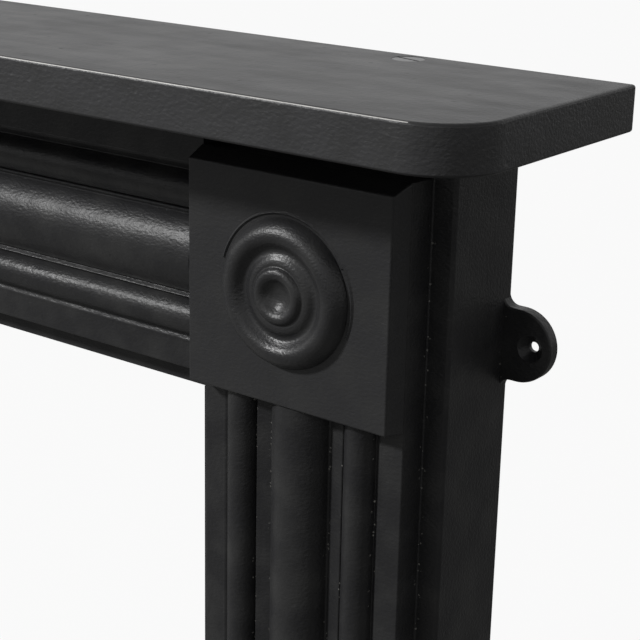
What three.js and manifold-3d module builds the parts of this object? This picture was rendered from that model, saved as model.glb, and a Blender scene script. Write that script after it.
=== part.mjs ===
// Reeded cast iron fireplace surround: shelf, frieze, two jambs, corner blocks with roundels, plinth blocks
// and the fasteners that hold them together. Millimetres, +X to the right, +Y towards the wall, +Z up. The
// origin is on the floor, under the middle of the surround. The right-hand castings are modelled and the
// left ones mirrored.
import * as THREE from 'three';
import { ConvexGeometry } from 'three/addons/geometries/ConvexGeometry.js';
import { mergeVertices } from 'three/addons/utils/BufferGeometryUtils.js';
import Module from 'manifold-3d';

const wasm = await Module();
wasm.setup();

// ---- Overall sizes ----
const OPENING_WIDTH = 914;
const OPENING_HEIGHT = 940;
const PANEL_WIDTH = 152; // reeded panel of jambs and frieze
const BORDER_WIDTH = 15.5; // flat border on each side of the panel
const PANEL_RISE = 17.8; // panel face in front of the border face
const PANEL_DRAFT = 1.7; // how far each panel side leans out on its way back
const RETURN_DEPTH = 66.4; // border face to the wall
const RETURN_ROUND = 2.5; // rounded corner between outer border and return
const HEAD_GAP = 23.4; // top of the frieze panel to the underside of the shelf
const WALL = 6.5; // general casting thickness
const GAP = 0.3; // clearance between pieces that touch

// ---- Shelf ----
const SHELF_OVERHANG = 70.5; // past the jambs' outer faces
const SHELF_DEPTH = 175.2;
const SHELF_THICKNESS = 27;
const SHELF_CORNER_RADIUS = 38;
const SHELF_ARRIS = 1.6;
const SHELF_PLATE = 8;
const SHELF_RIM = 9;
const SHELF_RIB = 6;
const SHELF_RIB_SETTINGS = { across: 2, along: 4 }; // lower edges of the ribs above the rim's
const SHELF_CELLS = 12; // hollow cells along the underside, in two rows
const SHELF_BOSS_RADIUS = 13;
const SCREW_INSET = 15.5; // screw axis in front of the wall
const SCREW_OFFSET = 23; // screw axis outside the middle of the jamb panel

// ---- Reeding, as distances from the middle of the panel ----
const REEDING = {
  jamb: { mainHalf: 21.5, ridge: 33.2, reedHalf: 10.8, bead: 60.0 },
  frieze: { mainHalf: 21.5, ridge: 28.2, reedHalf: 11.8, bead: 57.3 },
};
const MAIN_RISE = 14; // middle reed in front of the panel face
const REED_RISE = 10.4; // side reeds above their quirks
const QUIRK = 1.6; // depth of the quirks behind the panel face
const RIDGE_LIP = 1.2; // ridges and beads in front of the panel face
const RIDGE_STEP = 1.3; // width of the steep side of a ridge or bead

// ---- Corner blocks, roundels and plinth blocks ----
const BLOCK_NARROWER = 2; // than the panel that carries it
const BLOCK_SHORTER = 10;
const BLOCK_RISE = 15;
const BLOCK_DRAFT = 1.4;
const BLOCK_WALL = 6;
const BLOCK_INSET = 0.9; // inner face of the block past the panel's inner edge
const BLOCK_BOSS_RADIUS = 16;
const PEG_RADIUS = 3.5;
const PEG_LENGTH = 4;
const PEG_BOSS_RADIUS = 8;
const PEG_INSET = { across: 20, up: 21 }; // locating pegs from the block's edges
const ROUNDEL_RADIUS = 48;
const ROUNDEL_RING_HALF = 9.4; // half the width of the roundel's outer ring
const ROUNDEL_RING_RISE = 9;
const ROUNDEL_BOSS_RADIUS = 21.8;
const ROUNDEL_DIMPLE_RISE = 4.6; // face at its middle, in front of the block
const SPIGOT_RADIUS = 10;
const SPIGOT_LENGTH = 6.5;
const PLINTH_HEIGHT = 178;
const PLINTH_RISE = 18;
const PLINTH_BEVEL = 6;
const PLINTH_BOSS_RADIUS = 10;

// ---- Wall lugs ----
const LUG_THICKNESS = 8;
const LUG_RADIUS = 22.8;
const LUG_CENTRE_OUT = 10.8; // centre of the lug's round end past the return
const LUG_FILLET = 7;
const LUG_ARRIS = 1.2;
const LUG_HOLE_OUT = 19.3;
const LUG_HOLE_RADIUS = 4;
const LUG_SINK_RADIUS = 8.5; // 90 degree countersink
const LUG_LOWER_HEIGHT = 300;
const LUG_UPPER_DROP = 136.3; // middle of the upper lug below the jamb's top

// ---- Stiffening ribs and bolting flanges ----
const RIB = 6;
const RIB_DEPTH = 8; // ribs behind the border's back
const FRIEZE_RIB_INSET = 237.5; // outer ribs from the ends of the frieze
const FLANGE = 8;
const FLANGE_DEPTH = 44; // bolting flanges behind the border face

// ---- Fasteners ----
const BOLT = { radius: 4, flats: 13, height: 6.5 };
const SCREW = { radius: 5, flats: 17, height: 8, head: 10 }; // 90 degree countersunk head
const HOLE_GAP = 0.5; // radial gap between a thread and the hole it passes through
const THREAD_GAP = 0.3; // radial gap between a thread and its nut or socket
const WASHER_RADIUS = 8;
const WASHER = 1.6;
const THREAD_END = 2.5; // thread left past the nut
const SCREW_SETTING = 0.4; // screw head below the shelf's top
const FRIEZE_BOLT_BACK = 26; // frieze bolts behind the border face
const FRIEZE_BOLT_HEIGHTS = { lower: 30, upper: 122 }; // above the frieze panel's lower edge
const PLINTH_STUD_HEIGHTS = { lower: 50, upper: 128 };
const SOCKET_ROOF = 4; // iron left in front of a blind stud hole

// ---- Places worked out from the sizes ----
const OPENING_EDGE = OPENING_WIDTH / 2;
const PANEL_IN = OPENING_EDGE + BORDER_WIDTH + PANEL_DRAFT;
const PANEL_MIDDLE = PANEL_IN + PANEL_WIDTH / 2;
const PANEL_OUT = PANEL_IN + PANEL_WIDTH;
const RETURN_OUT = PANEL_OUT + PANEL_DRAFT + BORDER_WIDTH;
const WALL_Y = SHELF_DEPTH / 2;
const BORDER_Y = WALL_Y - RETURN_DEPTH;
const PANEL_Y = BORDER_Y - PANEL_RISE;
const PANEL_BACK_Y = PANEL_Y + WALL;
const BORDER_BACK_Y = BORDER_Y + WALL;
const RIB_BACK_Y = BORDER_BACK_Y + RIB_DEPTH;
const FLANGE_BACK_Y = BORDER_Y + FLANGE_DEPTH;
const BLOCK_Y = PANEL_Y - BLOCK_RISE;
const BLOCK_BACK_Y = PANEL_Y - GAP;
const PLINTH_Y = PANEL_Y - PLINTH_RISE;
const FRIEZE_BOTTOM = OPENING_HEIGHT + BORDER_WIDTH + PANEL_DRAFT;
const FRIEZE_MIDDLE = FRIEZE_BOTTOM + PANEL_WIDTH / 2;
const FRIEZE_TOP = FRIEZE_BOTTOM + PANEL_WIDTH;
const SHELF_UNDERSIDE = FRIEZE_TOP + HEAD_GAP;
const SHELF_TOP = SHELF_UNDERSIDE + SHELF_THICKNESS;
const BODY_TOP = SHELF_UNDERSIDE - GAP;
const LUG_HEIGHTS = [LUG_LOWER_HEIGHT, BODY_TOP - LUG_UPPER_DROP];
const FRIEZE_END = PANEL_IN - PANEL_DRAFT;
const JOINT_X = FRIEZE_END + GAP; // face of the jamb that the frieze butts against
const BLOCK_WIDTH = PANEL_WIDTH - BLOCK_NARROWER;
const BLOCK_HEIGHT = PANEL_WIDTH - BLOCK_SHORTER;
const BLOCK_X = PANEL_IN - BLOCK_INSET + BLOCK_WIDTH / 2;
const BLOCK_Z = FRIEZE_BOTTOM + BLOCK_HEIGHT / 2;
const PEG_ACROSS = BLOCK_WIDTH / 2 - PEG_INSET.across;
const PEG_UP = BLOCK_HEIGHT / 2 - PEG_INSET.up;
const FRIEZE_RIB_PLACES = [FRIEZE_RIB_INSET - FRIEZE_END, 0, FRIEZE_END - FRIEZE_RIB_INSET];
const BOLT_HOLE = BOLT.radius + HOLE_GAP;
const SCREW_HOLE = SCREW.radius + HOLE_GAP;
const SCREW_X = PANEL_MIDDLE + SCREW_OFFSET;
const SCREW_Y = WALL_Y - SCREW_INSET;
const FRIEZE_BOLT_Y = BORDER_Y + FRIEZE_BOLT_BACK;
const HEAD_DEPTH = SCREW.head - SCREW.radius;
const CUT = 1; // how far cutters and joined pieces run past the face they meet
const UP = [0, 0, 1];
const BACKWARDS = [0, 1, 0];
const FORWARDS = [0, -1, 0];

// ---- Materials ----
const IRON = { color: 0x2d2d2f, roughness: 0.5, metalness: 0.35 };
const STEEL = { color: 0x6d6e70, roughness: 0.42, metalness: 0.9 };

// ---- Solids from geometries, and back ----
function solid(geometry) {
  const bare = geometry.clone();
  bare.deleteAttribute('normal');
  bare.deleteAttribute('uv');
  const merged = mergeVertices(bare, 1e-4);
  const index = merged.index.array;
  const triangles = [];
  for (let i = 0; i < index.length; i += 3) {
    const [a, b, c] = index.slice(i, i + 3);
    if (a !== b && b !== c && c !== a) triangles.push(a, b, c);
  }
  return new wasm.Manifold(new wasm.Mesh({
    numProp: 3,
    vertProperties: Float32Array.from(merged.attributes.position.array),
    triVerts: Uint32Array.from(triangles),
  }));
}

function geometryOf(manifold) {
  const mesh = manifold.getMesh();
  const geometry = new THREE.BufferGeometry();
  geometry.setAttribute('position', new THREE.BufferAttribute(Float32Array.from(mesh.vertProperties), 3));
  geometry.setIndex(new THREE.BufferAttribute(Uint32Array.from(mesh.triVerts), 1));
  geometry.computeVertexNormals();
  return geometry;
}

function mirrored(geometry) {
  const copy = geometry.clone().scale(-1, 1, 1);
  const index = copy.index.array;
  for (let i = 0; i < index.length; i += 3) [index[i], index[i + 1]] = [index[i + 1], index[i]];
  copy.computeVertexNormals();
  return copy;
}

const join = (...solids) => solids.reduce((all, next) => all.add(next));
const cut = (from, ...solids) => solids.reduce((rest, next) => rest.subtract(next), from);

// ---- Basic forms ----
function box(low, high) {
  const size = high.map((value, axis) => value - low[axis]);
  const centre = high.map((value, axis) => (value + low[axis]) / 2);
  return solid(new THREE.BoxGeometry(...size).translate(...centre));
}

// A round or six-sided bar, or a cone, from one point to another.
function bar(from, to, radius, endRadius = radius, sides = 16) {
  const path = new THREE.Vector3(...to).sub(new THREE.Vector3(...from));
  const geometry = new THREE.CylinderGeometry(endRadius, radius, path.length(), sides);
  geometry.translate(0, path.length() / 2, 0);
  const turn = new THREE.Quaternion().setFromUnitVectors(new THREE.Vector3(0, 1, 0), path.normalize());
  return solid(geometry.applyQuaternion(turn).translate(...from));
}

// A turned solid on an axis through a point: the profile is [radius, distance along the axis], both ends on
// the axis, from the near end to the far one.
function turned(at, axis, profile, sides) {
  const geometry = new THREE.LatheGeometry(profile.map((point) => new THREE.Vector2(...point)), sides);
  const towards = new THREE.Vector3(...axis);
  const turn = new THREE.Quaternion().setFromUnitVectors(new THREE.Vector3(0, 1, 0), towards);
  return solid(geometry.applyQuaternion(turn).translate(...at));
}

// Rectangles [left, bottom, right, top, y] joined front to back into one drafted solid.
function drafted(rectangles) {
  const corners = rectangles.flatMap(([left, bottom, right, top, y]) => [
    new THREE.Vector3(left, y, bottom), new THREE.Vector3(right, y, bottom),
    new THREE.Vector3(right, y, top), new THREE.Vector3(left, y, top),
  ]);
  return solid(new ConvexGeometry(corners));
}

// A plan outline in X and Y, raised between two heights, with an optional rounded arris.
function raised(outline, bottom, top, curveSegments, arris = 0) {
  const geometry = new THREE.ExtrudeGeometry(outline, {
    depth: top - bottom - 2 * arris, curveSegments,
    bevelEnabled: arris > 0, bevelThickness: arris, bevelSize: arris, bevelOffset: -arris, bevelSegments: 2,
  });
  return solid(geometry.translate(0, 0, bottom + arris));
}

// A section in Y and Z, swept along X.
function sweptAcross(section, from, to) {
  const geometry = new THREE.ExtrudeGeometry(section, { depth: to - from, bevelEnabled: false });
  const turn = new THREE.Matrix4().set(0, 0, 1, from, 1, 0, 0, 0, 0, 1, 0, 0, 0, 0, 0, 1);
  return solid(geometry.applyMatrix4(turn));
}

// An outline in X and Z, given its thickness between two planes in Y, with rounded arrises.
function plated(outline, front, back, arris) {
  const geometry = new THREE.ExtrudeGeometry(outline, {
    depth: back - front - 2 * arris, curveSegments: 8,
    bevelThickness: arris, bevelSize: arris, bevelOffset: -arris, bevelSegments: 1,
  });
  const turn = new THREE.Matrix4().set(1, 0, 0, 0, 0, 0, -1, back - arris, 0, 1, 0, 0, 0, 0, 0, 1);
  return solid(geometry.applyMatrix4(turn));
}

// ---- Reeded face ----
// A round reed between two feet, as [across, height] points from left to right.
function reed(centre, half, foot, rise, steps) {
  const radius = (half * half + rise * rise) / (2 * rise);
  const sweep = Math.asin(Math.min(1, half / radius));
  return Array.from({ length: steps + 1 }, (_, i) => {
    const angle = sweep * ((2 * i) / steps - 1);
    return [centre + radius * Math.sin(angle), foot + rise - radius * (1 - Math.cos(angle))];
  });
}

// The face from one edge of the panel to the other: flat, bead, reed, ridge, main reed, and back out again.
function reededFace({ mainHalf, ridge, reedHalf, bead }) {
  const outer = [
    [ridge, RIDGE_LIP],
    ...reed(ridge + RIDGE_STEP + reedHalf, reedHalf, -QUIRK, REED_RISE, 8),
    [bead, RIDGE_LIP], [bead + RIDGE_STEP, 0], [PANEL_WIDTH / 2, 0],
  ];
  const inner = outer.map(([across, height]) => [-across, height]).reverse();
  return [...inner, ...reed(0, mainHalf, -QUIRK, MAIN_RISE + QUIRK, 12), ...outer];
}

// The hollow back of the panel, from its far edge to its near one, with a groove behind the main reed.
// Webs take the same line, moved a little way into the iron.
function panelBack({ mainHalf }, grow = 0) {
  const foot = PANEL_WIDTH / 2 + PANEL_DRAFT - WALL + grow;
  const face = grow - WALL;
  const groove = reed(0, mainHalf - WALL + grow, face, MAIN_RISE, 6);
  return [
    [foot, face - PANEL_RISE], [foot - PANEL_DRAFT, face], ...groove.reverse(),
    [PANEL_DRAFT - foot, face], [-foot, face - PANEL_RISE],
  ];
}

// ---- Envelopes of the blocks, which the reeds stop short of ----
function cornerEnvelope(grow, back) {
  const [halfX, halfZ] = [BLOCK_WIDTH / 2 + grow, BLOCK_HEIGHT / 2 + grow];
  const [baseX, baseZ] = [halfX + BLOCK_DRAFT, halfZ + BLOCK_DRAFT];
  return drafted([
    [BLOCK_X - halfX, BLOCK_Z - halfZ, BLOCK_X + halfX, BLOCK_Z + halfZ, BLOCK_Y - grow],
    [BLOCK_X - baseX, BLOCK_Z - baseZ, BLOCK_X + baseX, BLOCK_Z + baseZ, back],
  ]);
}

function plinthEnvelope(grow, back, bottom) {
  const half = BLOCK_WIDTH / 2 + grow;
  const base = half + BLOCK_DRAFT;
  const top = PLINTH_HEIGHT + grow;
  return drafted([
    [BLOCK_X - half, bottom, BLOCK_X + half, top - PLINTH_BEVEL, PLINTH_Y - grow],
    [BLOCK_X - half, bottom, BLOCK_X + half, top, PLINTH_Y - grow + PLINTH_BEVEL],
    [BLOCK_X - base, bottom, BLOCK_X + base, top, back],
  ]);
}

// ---- Jamb ----
function jambSection() {
  const section = new THREE.Shape();
  section.moveTo(OPENING_EDGE, BORDER_Y);
  section.lineTo(PANEL_IN - PANEL_DRAFT, BORDER_Y);
  reededFace(REEDING.jamb).forEach(([across, height]) => {
    section.lineTo(PANEL_MIDDLE + across, PANEL_Y - height);
  });
  section.lineTo(PANEL_OUT + PANEL_DRAFT, BORDER_Y);
  section.absarc(RETURN_OUT - RETURN_ROUND, BORDER_Y + RETURN_ROUND, RETURN_ROUND, -Math.PI / 2, 0);
  section.lineTo(RETURN_OUT, WALL_Y);
  section.lineTo(RETURN_OUT - WALL, WALL_Y);
  section.lineTo(RETURN_OUT - WALL, BORDER_BACK_Y);
  panelBack(REEDING.jamb).forEach(([across, height]) => {
    section.lineTo(PANEL_MIDDLE + across, PANEL_Y - height);
  });
  section.lineTo(OPENING_EDGE, BORDER_BACK_Y);
  return section;
}

// A level web across the back of the jamb, between the panel, the outer border and the return.
function jambWeb(bottom, top, back) {
  const outline = new THREE.Shape();
  outline.moveTo(RETURN_OUT - WALL + CUT, back);
  outline.lineTo(RETURN_OUT - WALL + CUT, BORDER_BACK_Y - CUT);
  panelBack(REEDING.jamb, CUT).forEach(([across, height]) => {
    outline.lineTo(PANEL_MIDDLE + across, PANEL_Y - height);
  });
  outline.lineTo(PANEL_IN + CUT, back);
  return raised(outline, bottom, top, 1);
}

// A flat seat on the panel for a block, between two heights, with no quirks and no groove behind it.
function jambSeat(bottom, top) {
  return box([PANEL_IN + CUT, PANEL_Y, bottom], [PANEL_OUT - CUT, PANEL_BACK_Y, top]);
}

// A fixing lug cast on the return, flat against the wall, with a countersunk hole.
function wallLug(height) {
  const [root, end] = [RETURN_OUT - WALL / 2, RETURN_OUT + LUG_CENTRE_OUT];
  const reach = LUG_RADIUS + LUG_FILLET;
  const foot = RETURN_OUT + LUG_FILLET - CUT / 2;
  const outline = new THREE.Shape();
  outline.moveTo(root, height - reach);
  outline.lineTo(foot - LUG_FILLET, height - reach);
  outline.absarc(foot, height - reach, LUG_FILLET, Math.PI, Math.PI / 2, true);
  outline.absarc(end, height, LUG_RADIUS, -Math.PI / 2, Math.PI / 2);
  outline.absarc(foot, height + reach, LUG_FILLET, -Math.PI / 2, Math.PI, true);
  outline.lineTo(root, height + reach);
  return plated(outline, WALL_Y - LUG_THICKNESS, WALL_Y, LUG_ARRIS);
}

function lugHole(height) {
  const end = LUG_THICKNESS + CUT;
  return turned([RETURN_OUT + LUG_HOLE_OUT, WALL_Y - LUG_THICKNESS, height], BACKWARDS, [
    [0, -CUT], [LUG_SINK_RADIUS + CUT, -CUT], [LUG_HOLE_RADIUS, LUG_SINK_RADIUS - LUG_HOLE_RADIUS],
    [LUG_HOLE_RADIUS, end], [0, end],
  ], 20);
}

function holeThroughSeat(x, height, radius) {
  return bar([x, PANEL_Y - CUT, height], [x, PANEL_BACK_Y + CUT, height], radius);
}

function jamb() {
  const topBoss = BODY_TOP - 2 * WALL;
  const iron = join(
    raised(jambSection(), 0, BODY_TOP, 3),
    jambSeat(FRIEZE_BOTTOM + CUT, BODY_TOP),
    jambSeat(0, PLINTH_HEIGHT - CUT),
    jambWeb(0, RIB, RIB_BACK_Y),
    jambWeb(BODY_TOP - WALL, BODY_TOP, WALL_Y),
    bar([SCREW_X, SCREW_Y, topBoss], [SCREW_X, SCREW_Y, BODY_TOP - CUT], 2 * SCREW.radius),
    box([JOINT_X, BORDER_Y + CUT, OPENING_HEIGHT - WALL], [JOINT_X + FLANGE, FLANGE_BACK_Y, BODY_TOP]),
    ...LUG_HEIGHTS.map(wallLug),
  );
  return cut(
    iron,
    cornerEnvelope(GAP, PANEL_Y),
    box([PANEL_IN - WALL, BLOCK_Y - CUT, BLOCK_Z], [PANEL_OUT + WALL, PANEL_Y, BODY_TOP + CUT]),
    plinthEnvelope(GAP, PANEL_Y, -CUT),
    box([OPENING_EDGE - CUT, PLINTH_Y, OPENING_HEIGHT - GAP], [JOINT_X, WALL_Y, BODY_TOP + CUT]),
    bar([SCREW_X, SCREW_Y, topBoss - CUT], [SCREW_X, SCREW_Y, BODY_TOP + CUT], SCREW_HOLE),
    holeThroughSeat(BLOCK_X, BLOCK_Z, BOLT_HOLE),
    holeThroughSeat(BLOCK_X - PEG_ACROSS, BLOCK_Z + PEG_UP, PEG_RADIUS + GAP),
    holeThroughSeat(BLOCK_X + PEG_ACROSS, BLOCK_Z - PEG_UP, PEG_RADIUS + GAP),
    ...Object.values(PLINTH_STUD_HEIGHTS).map((height) => holeThroughSeat(BLOCK_X, height, BOLT_HOLE)),
    ...Object.values(FRIEZE_BOLT_HEIGHTS).map((height) => friezeBoltHole(JOINT_X, JOINT_X + FLANGE, height)),
    ...LUG_HEIGHTS.map(lugHole),
  );
}

// ---- Frieze ----
function friezeSection() {
  const section = new THREE.Shape();
  section.moveTo(BORDER_Y, OPENING_HEIGHT);
  section.lineTo(BORDER_Y, FRIEZE_BOTTOM - PANEL_DRAFT);
  reededFace(REEDING.frieze).forEach(([across, height]) => {
    section.lineTo(PANEL_Y - height, FRIEZE_MIDDLE + across);
  });
  section.lineTo(BORDER_Y, FRIEZE_TOP + PANEL_DRAFT);
  section.lineTo(BORDER_Y, BODY_TOP);
  section.lineTo(WALL_Y, BODY_TOP);
  section.lineTo(WALL_Y, BODY_TOP - WALL);
  section.lineTo(BORDER_BACK_Y, BODY_TOP - WALL);
  panelBack(REEDING.frieze).forEach(([across, height]) => {
    section.lineTo(PANEL_Y - height, FRIEZE_MIDDLE + across);
  });
  section.lineTo(BORDER_BACK_Y, OPENING_HEIGHT);
  return section;
}

// An upright web behind the frieze, between the panel, the borders and the top flange.
function friezeWeb(left, right, back) {
  const outline = new THREE.Shape();
  outline.moveTo(back, BODY_TOP - WALL + CUT);
  outline.lineTo(BORDER_BACK_Y - CUT, BODY_TOP - WALL + CUT);
  panelBack(REEDING.frieze, CUT).forEach(([across, height]) => {
    outline.lineTo(PANEL_Y - height, FRIEZE_MIDDLE + across);
  });
  outline.lineTo(BORDER_BACK_Y - CUT, OPENING_HEIGHT + CUT);
  outline.lineTo(back, OPENING_HEIGHT + CUT);
  return sweptAcross(outline, left, right);
}

function friezeBoltHole(from, to, height) {
  const z = FRIEZE_BOTTOM + height;
  return bar([from - CUT, FRIEZE_BOLT_Y, z], [to + CUT, FRIEZE_BOLT_Y, z], BOLT_HOLE);
}

function frieze() {
  const iron = join(
    sweptAcross(friezeSection(), -FRIEZE_END, FRIEZE_END),
    ...FRIEZE_RIB_PLACES.map((x) => friezeWeb(x - RIB / 2, x + RIB / 2, RIB_BACK_Y)),
    friezeWeb(FRIEZE_END - FLANGE, FRIEZE_END, FLANGE_BACK_Y),
    friezeWeb(-FRIEZE_END, FLANGE - FRIEZE_END, FLANGE_BACK_Y),
  );
  const corner = geometryOf(cornerEnvelope(GAP, PANEL_Y));
  return cut(
    iron,
    solid(corner),
    solid(mirrored(corner)),
    ...Object.values(FRIEZE_BOLT_HEIGHTS).flatMap((height) => [
      friezeBoltHole(FRIEZE_END - FLANGE, FRIEZE_END, height),
      friezeBoltHole(-FRIEZE_END, FLANGE - FRIEZE_END, height),
    ]),
  );
}

// ---- Shelf ----
function shelfOutline(inset) {
  const [half, front, back] = [RETURN_OUT + SHELF_OVERHANG - inset, inset - WALL_Y, WALL_Y - inset];
  const radius = SHELF_CORNER_RADIUS - inset;
  const outline = new THREE.Shape();
  outline.moveTo(half, back);
  outline.lineTo(-half, back);
  outline.absarc(radius - half, front + radius, radius, Math.PI, 1.5 * Math.PI);
  outline.absarc(half - radius, front + radius, radius, -Math.PI / 2, 0);
  return outline;
}

// Ribs under the shelf: one along the middle and the rest front to back, evenly spaced.
function shelfRibs() {
  const half = RETURN_OUT + SHELF_OVERHANG;
  const { across, along } = SHELF_RIB_SETTINGS;
  const [bottom, top] = [SHELF_UNDERSIDE + across, SHELF_TOP - SHELF_PLATE + CUT];
  const pitch = (2 * half - 2 * SHELF_RIM + SHELF_RIB) / SHELF_CELLS;
  const end = half - SHELF_RIM + CUT;
  const ribs = [box([-end, -SHELF_RIB / 2, SHELF_UNDERSIDE + along], [end, SHELF_RIB / 2, top])];
  for (let i = 1; i < SHELF_CELLS; i += 1) {
    const x = SHELF_RIM - SHELF_RIB - half + i * pitch;
    ribs.push(box([x, SHELF_RIM - CUT - WALL_Y, bottom], [x + SHELF_RIB, WALL_Y - SHELF_RIM + CUT, top]));
  }
  return ribs;
}

function shelf() {
  const cells = raised(shelfOutline(SHELF_RIM), SHELF_UNDERSIDE - CUT, SHELF_TOP - SHELF_PLATE, 10);
  const plate = cut(raised(shelfOutline(0), SHELF_UNDERSIDE, SHELF_TOP, 10, SHELF_ARRIS), cells);
  const screws = [SCREW_X, -SCREW_X];
  const bosses = screws.map((x) => bar(
    [x, SCREW_Y, SHELF_UNDERSIDE], [x, SCREW_Y, SHELF_TOP - SHELF_PLATE + CUT], SHELF_BOSS_RADIUS,
  ));
  const [start, end] = [SHELF_UNDERSIDE - CUT, SHELF_TOP + CUT];
  const mouth = SCREW.head + GAP + SCREW_SETTING + CUT;
  const holes = screws.map((x) => turned([x, SCREW_Y, 0], UP, [
    [0, start], [SCREW_HOLE, start], [SCREW_HOLE, end - mouth + SCREW_HOLE], [mouth, end], [0, end],
  ], 24));
  return cut(join(plate, ...shelfRibs(), ...bosses), ...holes);
}

// ---- Corner block ----
function cornerBlock() {
  const [halfX, halfZ] = [BLOCK_WIDTH / 2 - BLOCK_WALL, BLOCK_HEIGHT / 2 - BLOCK_WALL];
  const hollow = box(
    [BLOCK_X - halfX, BLOCK_Y + BLOCK_WALL, BLOCK_Z - halfZ], [BLOCK_X + halfX, PANEL_Y, BLOCK_Z + halfZ],
  );
  const pegs = [[-PEG_ACROSS, PEG_UP], [PEG_ACROSS, -PEG_UP]].flatMap(([across, up]) => {
    const [x, z] = [BLOCK_X + across, BLOCK_Z + up];
    return [
      bar([x, BLOCK_Y + CUT, z], [x, BLOCK_BACK_Y, z], PEG_BOSS_RADIUS),
      bar([x, BLOCK_Y + CUT, z], [x, PANEL_Y + PEG_LENGTH, z], PEG_RADIUS),
    ];
  });
  const [socket, bore, end] = [SPIGOT_LENGTH + GAP, SPIGOT_RADIUS + GAP, BLOCK_RISE + CUT];
  const boss = bar([BLOCK_X, BLOCK_Y + CUT, BLOCK_Z], [BLOCK_X, BLOCK_BACK_Y, BLOCK_Z], BLOCK_BOSS_RADIUS);
  return cut(
    join(cut(cornerEnvelope(0, BLOCK_BACK_Y), hollow), boss, ...pegs),
    turned([BLOCK_X, BLOCK_Y, BLOCK_Z], BACKWARDS, [
      [0, -CUT], [bore, -CUT], [bore, socket], [BOLT_HOLE, socket], [BOLT_HOLE, end], [0, end],
    ], 24),
  );
}

// ---- Roundel ----
// Turned about its own axis: outer ring, dished face, stepped boss with a dimple, and a spigot behind.
function roundel() {
  const ring = reed(ROUNDEL_RADIUS - ROUNDEL_RING_HALF, ROUNDEL_RING_HALF, 0, ROUNDEL_RING_RISE, 7);
  const step = ROUNDEL_BOSS_RADIUS;
  const face = [
    [0, ROUNDEL_DIMPLE_RISE], [step - 16, 5.1], [step - 11.4, 6.6], [step - 8.8, 8.8], [step - 6.4, 9.9],
    [step - 4.4, 9.2], [step - 3.2, 7.4], [step - 2.4, 6.2], [step - 0.8, 5.6], [step, 3.4], [step + 2.2, 2],
    ...ring,
  ];
  const socket = BOLT.radius + THREAD_GAP;
  const roof = ROUNDEL_DIMPLE_RISE - SOCKET_ROOF;
  const back = [
    [ROUNDEL_RADIUS, 0], [SPIGOT_RADIUS, 0], [SPIGOT_RADIUS, -SPIGOT_LENGTH], [socket, -SPIGOT_LENGTH],
    [socket, roof], [0, roof],
  ];
  const profile = [...face, ...back.slice(1)].reverse();
  return turned([BLOCK_X, BLOCK_Y - GAP, BLOCK_Z], FORWARDS, profile, 32);
}

// ---- Plinth block ----
function plinthBlock() {
  const [left, right] = [BLOCK_X - BLOCK_WIDTH / 2 + BLOCK_WALL, BLOCK_X + BLOCK_WIDTH / 2 - BLOCK_WALL];
  const hollow = box([left, PLINTH_Y + BLOCK_WALL, -CUT], [right, PANEL_Y, PLINTH_HEIGHT - BLOCK_WALL]);
  const heights = Object.values(PLINTH_STUD_HEIGHTS);
  return cut(
    join(
      cut(plinthEnvelope(0, BLOCK_BACK_Y, 0), hollow),
      ...heights.map((z) => bar(
        [BLOCK_X, PLINTH_Y + CUT, z], [BLOCK_X, BLOCK_BACK_Y, z], PLINTH_BOSS_RADIUS,
      )),
    ),
    ...heights.map((z) => bar(
      [BLOCK_X, PLINTH_Y + SOCKET_ROOF, z], [BLOCK_X, PANEL_Y, z], BOLT.radius + THREAD_GAP,
    )),
  );
}

// ---- Fasteners ----
// A hexagon head or nut between two points; the hole is left out for a head.
function hexagon(from, to, flats, holeRadius = 0) {
  const body = bar(from, to, flats / Math.sqrt(3), flats / Math.sqrt(3), 6);
  return holeRadius > 0 ? cut(body, bar(from, to, holeRadius)) : body;
}

function roundelStud() {
  const end = PANEL_BACK_Y + WASHER + BOLT.height + 2 * GAP + THREAD_END;
  const start = BLOCK_Y - ROUNDEL_DIMPLE_RISE + SOCKET_ROOF;
  return bar([BLOCK_X, start, BLOCK_Z], [BLOCK_X, end, BLOCK_Z], BOLT.radius);
}

function roundelWasher() {
  const start = PANEL_BACK_Y + GAP;
  const [from, to] = [[BLOCK_X, start, BLOCK_Z], [BLOCK_X, start + WASHER, BLOCK_Z]];
  return cut(bar(from, to, WASHER_RADIUS), bar(from, to, BOLT_HOLE));
}

function roundelNut() {
  const start = PANEL_BACK_Y + 2 * GAP + WASHER;
  return hexagon(
    [BLOCK_X, start, BLOCK_Z], [BLOCK_X, start + BOLT.height, BLOCK_Z], BOLT.flats, BOLT.radius + THREAD_GAP,
  );
}

function plinthStud(z) {
  const end = PANEL_BACK_Y + GAP + BOLT.height + THREAD_END;
  return bar([BLOCK_X, PLINTH_Y + SOCKET_ROOF + GAP, z], [BLOCK_X, end, z], BOLT.radius);
}

function plinthNut(z) {
  const start = PANEL_BACK_Y + GAP;
  const end = start + BOLT.height;
  return hexagon([BLOCK_X, start, z], [BLOCK_X, end, z], BOLT.flats, BOLT.radius + THREAD_GAP);
}

// Frieze bolts lie along X: the head inside the jamb, the washer and nut behind the frieze.
function friezeBolt(height) {
  const [y, z] = [FRIEZE_BOLT_Y, FRIEZE_BOTTOM + height];
  const seat = JOINT_X + FLANGE + GAP;
  const end = FRIEZE_END - FLANGE - 2 * GAP - WASHER - BOLT.height - THREAD_END;
  return join(
    hexagon([seat, y, z], [seat + BOLT.height, y, z], BOLT.flats),
    bar([end, y, z], [seat + CUT, y, z], BOLT.radius),
  );
}

function friezeWasher(height) {
  const [y, z] = [FRIEZE_BOLT_Y, FRIEZE_BOTTOM + height];
  const start = FRIEZE_END - FLANGE - GAP;
  const [from, to] = [[start - WASHER, y, z], [start, y, z]];
  return cut(bar(from, to, WASHER_RADIUS), bar(from, to, BOLT_HOLE));
}

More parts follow.
